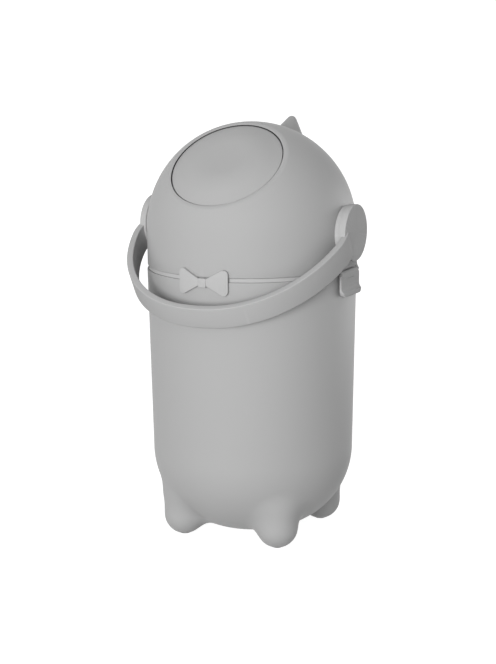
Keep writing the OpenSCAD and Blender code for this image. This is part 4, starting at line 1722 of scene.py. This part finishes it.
@dataclass
class Fasteners:
    """The screws, each set on its points by one tree, and the flap's spring.

    Args:
        dome: the head, for the hatch's frame.
        centre_z: height of the handle's pivots.
    """

    dome: Dome
    centre_z: float = 336.0

    def _screw(self) -> bpy.types.Object:
        """A pan-head screw with a cross recess, its head on +Z and 1 mm in radius.

        Returns:
            The screw, made once and then instanced.
        """
        profile = ([(0.05, -0.25), (0.5, -0.25), (0.5, 0.0), (0.96, 0.0), (1.0, 0.05), (1.0, 0.2)]
                   + arc(0.72, 0.24, 0.28, 0, 90, 4) + [(0.05, 0.54)])
        screw = Shaper.revolve("screw", profile, 24)
        bars = [Shaper.block("bar", (-0.55, -0.09, 0.3), (0.55, 0.09, 0.7)),
                Shaper.block("bar", (-0.09, -0.55, 0.3), (0.09, 0.55, 0.7))]
        return Shaper.cut(screw, [Shaper.unite(bars[0], [bars[1]])])

    def _set(self, tree: Tree, screw: bpy.types.Object, name: str, node: str, body: Body, size: float,
             places: Sequence[tuple[Vector, Vector]]) -> bpy.types.Object:
        """Sets screws on places, each with its own direction.

        Args:
            tree: the tree that sets them.
            screw: the screw.
            name: the piece's name.
            node: the CAD node that it stands for.
            body: the body that they ride on.
            size: radius of a head in millimetres.
            places: seat and direction of each screw.

        Returns:
            The screws of one node.
        """
        base = bpy.data.meshes.new(name)
        base.from_pydata([tuple(p * MM) for p, _ in places], [], [])
        aim = base.attributes.new("aim", "FLOAT_VECTOR", "POINT")
        for i, (_, d) in enumerate(places):
            aim.data[i].vector = d
        obj = tree.run(name, base, {"Fastener": screw, "Size": size, "Material": STEEL.material()})
        return own(Shaper.smooth(obj, 35), body, Slot.STEEL, STEEL, node)

    def build(self) -> list[bpy.types.Object]:
        """Makes all the screws and the spring.

        Returns:
            The pieces.
        """
        tree, screw = scatter_tree(), self._screw()
        hatch, z = self.dome.hatch_frame(), self.centre_z
        down = (hatch.to_3x3() @ Vector((0, 0, -1))).normalized()

        def ring(radius: float, height: float, first: float, step: float, count: int) -> list[tuple[Vector, Vector]]:
            """Places round the hatch's axis.

            Args:
                radius: their distance from the axis.
                height: their height along the axis.
                first: angle of the first one, in degrees.
                step: angle between them, in degrees.
                count: how many there are.

            Returns:
                Seat and direction of each.
            """
            out = []
            for i in range(count):
                a = math.radians(first + step * i)
                out.append((hatch @ Vector((radius * math.cos(a), radius * math.sin(a), height)), down))
            return out

        made = [
            self._set(tree, screw, "bracket_fixings", "bracket_screws", Body.BIN, 3.4,
                      [(Vector((-116.0, y, 279)), Vector((-1, 0, 0))) for y in (-9, 9)]),
            self._set(tree, screw, "boss_fixings", "boss_screws", Body.HEAD, 3.0,
                      [(Vector((s * 108.5, y, z)), Vector((-s, 0, 0))) for s in (-1, 1) for y in (-14, 14)]),
            self._set(tree, screw, "frame_fixings", "frame_screws", Body.HEAD, 2.8, ring(69.6, 81.5, 45, 90, 4)),
            self._set(tree, screw, "flap_fixings", "flap_screws", Body.FLAP, 3.0, ring(42, 83.8, 30, 120, 3)),
            self._spring()]
        bpy.data.objects.remove(screw)
        return made

    def _spring(self) -> bpy.types.Object:
        """The torsion spring on the flap's pin, wound by its own tree.

        Returns:
            The spring.
        """
        u, h, r, wire, half = 66.0, 76.0, 3.1, 0.8, 9.1
        hatch = self.dome.hatch_frame()
        ends = [(-half, u - 28, h + r + 3.4), (-half, u, h + r), (half, u, h + r), (half, u + 9, h + r + 0.6)]
        base = bpy.data.meshes.new("spring")
        base.from_pydata([tuple(hatch @ Vector(p) * MM) for p in ends], [(0, 1), (2, 3)], [])
        place = hatch @ Vector((-half, u, h)) * MM
        # The spiral winds along its own Z: turn that onto X, with its first point up the hatch's axis
        lie = Matrix(((0, 0, 1), (0, 1, 0), (-1, 0, 0)))
        turn = (hatch.to_3x3() @ lie @ Matrix.Rotation(math.pi, 3, "Z")).to_euler()
        obj = coil_tree().run("return_spring", base, {
            "Material": SPRING.material(), "Coil radius": r * MM, "Length": 2 * half * MM, "Turns": 7.0,
            "Wire radius": wire * MM, "Place": tuple(place), "Turn": tuple(turn)})
        Shaper.smooth(obj, 60)
        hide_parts("flap_spring")
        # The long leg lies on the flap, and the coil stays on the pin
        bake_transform(obj)
        return obj


@dataclass
class Stage:
    """Floor, light and camera.

    Args:
        eye: the camera's place, in millimetres.
        right: the picture's right.
        up: the picture's up.
        lens: focal length for a 36 mm long side.
        sky_glow: strength of the sky's light on the bin.
        sky_white: strength of the sky that the camera sees.
        floor_glow: strength of the floor's own light on the bin.
        floor_white: strength of the floor that the camera sees.
        floor_tone: grey of the floor, which the lamps light.
    """

    eye: Point = (752.101, -1502.214, 555.254)
    right: Point = (0.8935, 0.449, -0.00697)
    up: Point = (-0.0818, 0.17801, 0.98062)
    lens: float = 84.757
    sky_glow: float = 0.48
    sky_white: float = 1.2
    floor_glow: float = 0.0
    floor_white: float = 0.95
    floor_tone: float = 0.34

    def camera(self) -> bpy.types.Object:
        """Sets the scene's camera.

        Returns:
            The camera.
        """
        data = bpy.data.cameras.new("view")
        data.lens, data.sensor_width, data.sensor_fit = self.lens, 36.0, "AUTO"
        data.clip_end = 50.0
        cam = bpy.data.objects.new("view", data)
        bpy.context.collection.objects.link(cam)
        right, up = Vector(self.right).normalized(), Vector(self.up)
        up = (up - right * up.dot(right)).normalized()
        back = right.cross(up)
        turn = Matrix((right, up, back)).transposed().to_4x4()
        turn.translation = Vector(self.eye) * MM
        cam.matrix_world = turn
        bpy.context.scene.camera = cam
        return cam

    def lamp(self, name: str, azimuth: float, elevation: float, distance: float, size: float,
             power: float) -> bpy.types.Object:
        """Adds a soft square light that faces the bin.

        Args:
            name: its name.
            azimuth: its direction round the bin, 0 in front and 90 on the right, in degrees.
            elevation: its angle above the floor, in degrees.
            distance: its distance in metres.
            size: its width in metres.
            power: its power in watts.

        Returns:
            The light.
        """
        data = bpy.data.lights.new(name, "AREA")
        data.shape, data.size, data.energy = "DISK", size, power
        lamp = bpy.data.objects.new(name, data)
        bpy.context.collection.objects.link(lamp)
        a, e = math.radians(azimuth), math.radians(elevation)
        way = Vector((math.sin(a) * math.cos(e), -math.cos(a) * math.cos(e), math.sin(e)))
        mid_height = 0.22
        lamp.location = way * distance + Vector((0, 0, mid_height))
        lamp.rotation_mode = "QUATERNION"
        lamp.rotation_quaternion = way.to_track_quat("Z", "Y")
        lamp.visible_camera = False
        return lamp

    @staticmethod
    def _glow(tree: bpy.types.NodeTree, low: float, white: float) -> bpy.types.NodeSocket:
        """A strength that lights the bin softly and looks white to the camera and in reflections.

        Args:
            tree: the tree of the floor's or the sky's nodes.
            low: the strength that lights the bin.
            white: the strength that the camera sees.

        Returns:
            The strength's socket.
        """
        ray = tree.nodes.new("ShaderNodeLightPath").outputs
        seen = tree.nodes.new("ShaderNodeMath")
        seen.operation = "ADD"
        feed(tree, seen, {"0": ray["Is Glossy Ray"], "1": ray["Is Camera Ray"]})
        glow = feed(tree, tree.nodes.new("ShaderNodeMapRange"), {
            "To Min": low, "To Max": white, "Value": seen.outputs[0]})
        return glow.outputs["Result"]

    def floor(self) -> None:
        """Lays the pale floor, which the camera sees as bright as the sky."""
        obj = Shaper.piece("floor", [(-8, -8, 0), (8, -8, 0), (8, 8, 0), (-8, 8, 0)], [(0, 1, 2, 3)])
        mat = bpy.data.materials.new("pale_floor")
        mat.use_nodes = True
        tree = mat.node_tree
        feed(tree, tree.nodes["Principled BSDF"], {
            "Base Color": (*[self.floor_tone] * 3, 1), "Roughness": 0.95, "Specular IOR Level": 0.1,
            "Emission Color": (1, 1, 1, 1),
            "Emission Strength": self._glow(tree, self.floor_glow, self.floor_white)})
        obj.data.materials.append(mat)

    def sky(self) -> None:
        """Surrounds the bin with even light, which the camera sees as white."""
        world = bpy.data.worlds.new("studio")
        world.use_nodes = True
        tree = world.node_tree
        feed(tree, tree.nodes["Background"], {
            "Color": (1, 1, 1, 1), "Strength": self._glow(tree, self.sky_glow, self.sky_white)})
        bpy.context.scene.world = world

    def build(self) -> None:
        """Sets camera, light and floor."""
        self.camera()
        self.sky()
        self.floor()
        key = self.lamp("key", azimuth=8, elevation=5, distance=3.2, size=1.8, power=112)
        key.visible_glossy = False
        card = self.lamp("card", azimuth=145, elevation=0, distance=1.1, size=0.9, power=5.5)
        card.visible_diffuse = False
        bpy.context.scene.view_settings.view_transform = "Standard"


CAD_FINISHES: dict[str, Finish] = {
    "foot_pads": RUBBER_AND_GAP_SHADE, "latch_keeper": TRIM, "flap_frame": INNER, "flap_backplate": INNER,
    "hinge_pin": STEEL, "handle_bolt_right": STEEL, "handle_bolt_left": STEEL, "handle_nuts": STEEL,
    "flap_pin": STEEL, "latch_pin": STEEL,
}


def dress_cad(frame: dict) -> None:
    """Gives each CAD node that stays its finish.
    """
    for name, obj in frame["nodes"].items():
        finish = CAD_FINISHES.get(name)
        if finish is None:
            continue
        for slot in obj.material_slots:
            slot.material = finish.material()
        if not obj.material_slots:
            obj.data.materials.append(finish.material())


def main() -> None:
    """Loads the frame and builds each sub-assembly in turn."""
    logging.basicConfig(level=logging.INFO, format="%(name)s: %(message)s")
    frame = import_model()
    Stage().build()
    dome = Dome()
    Tub().build()
    dome.build()
    Flap(dome).build()
    Bail().build()
    latch = Latch()
    Boss(Side.RIGHT, dome).build(latch.ears())
    Boss(Side.LEFT, dome, pad_half=15.0, pad_x=115.0).build(Hinge().knuckle())
    Hinge().build()
    latch.build()
    Bow().build()
    Rings(dome).build()
    Fasteners(dome).build()
    dress_cad(frame)


if __name__ == "__main__":
    main()
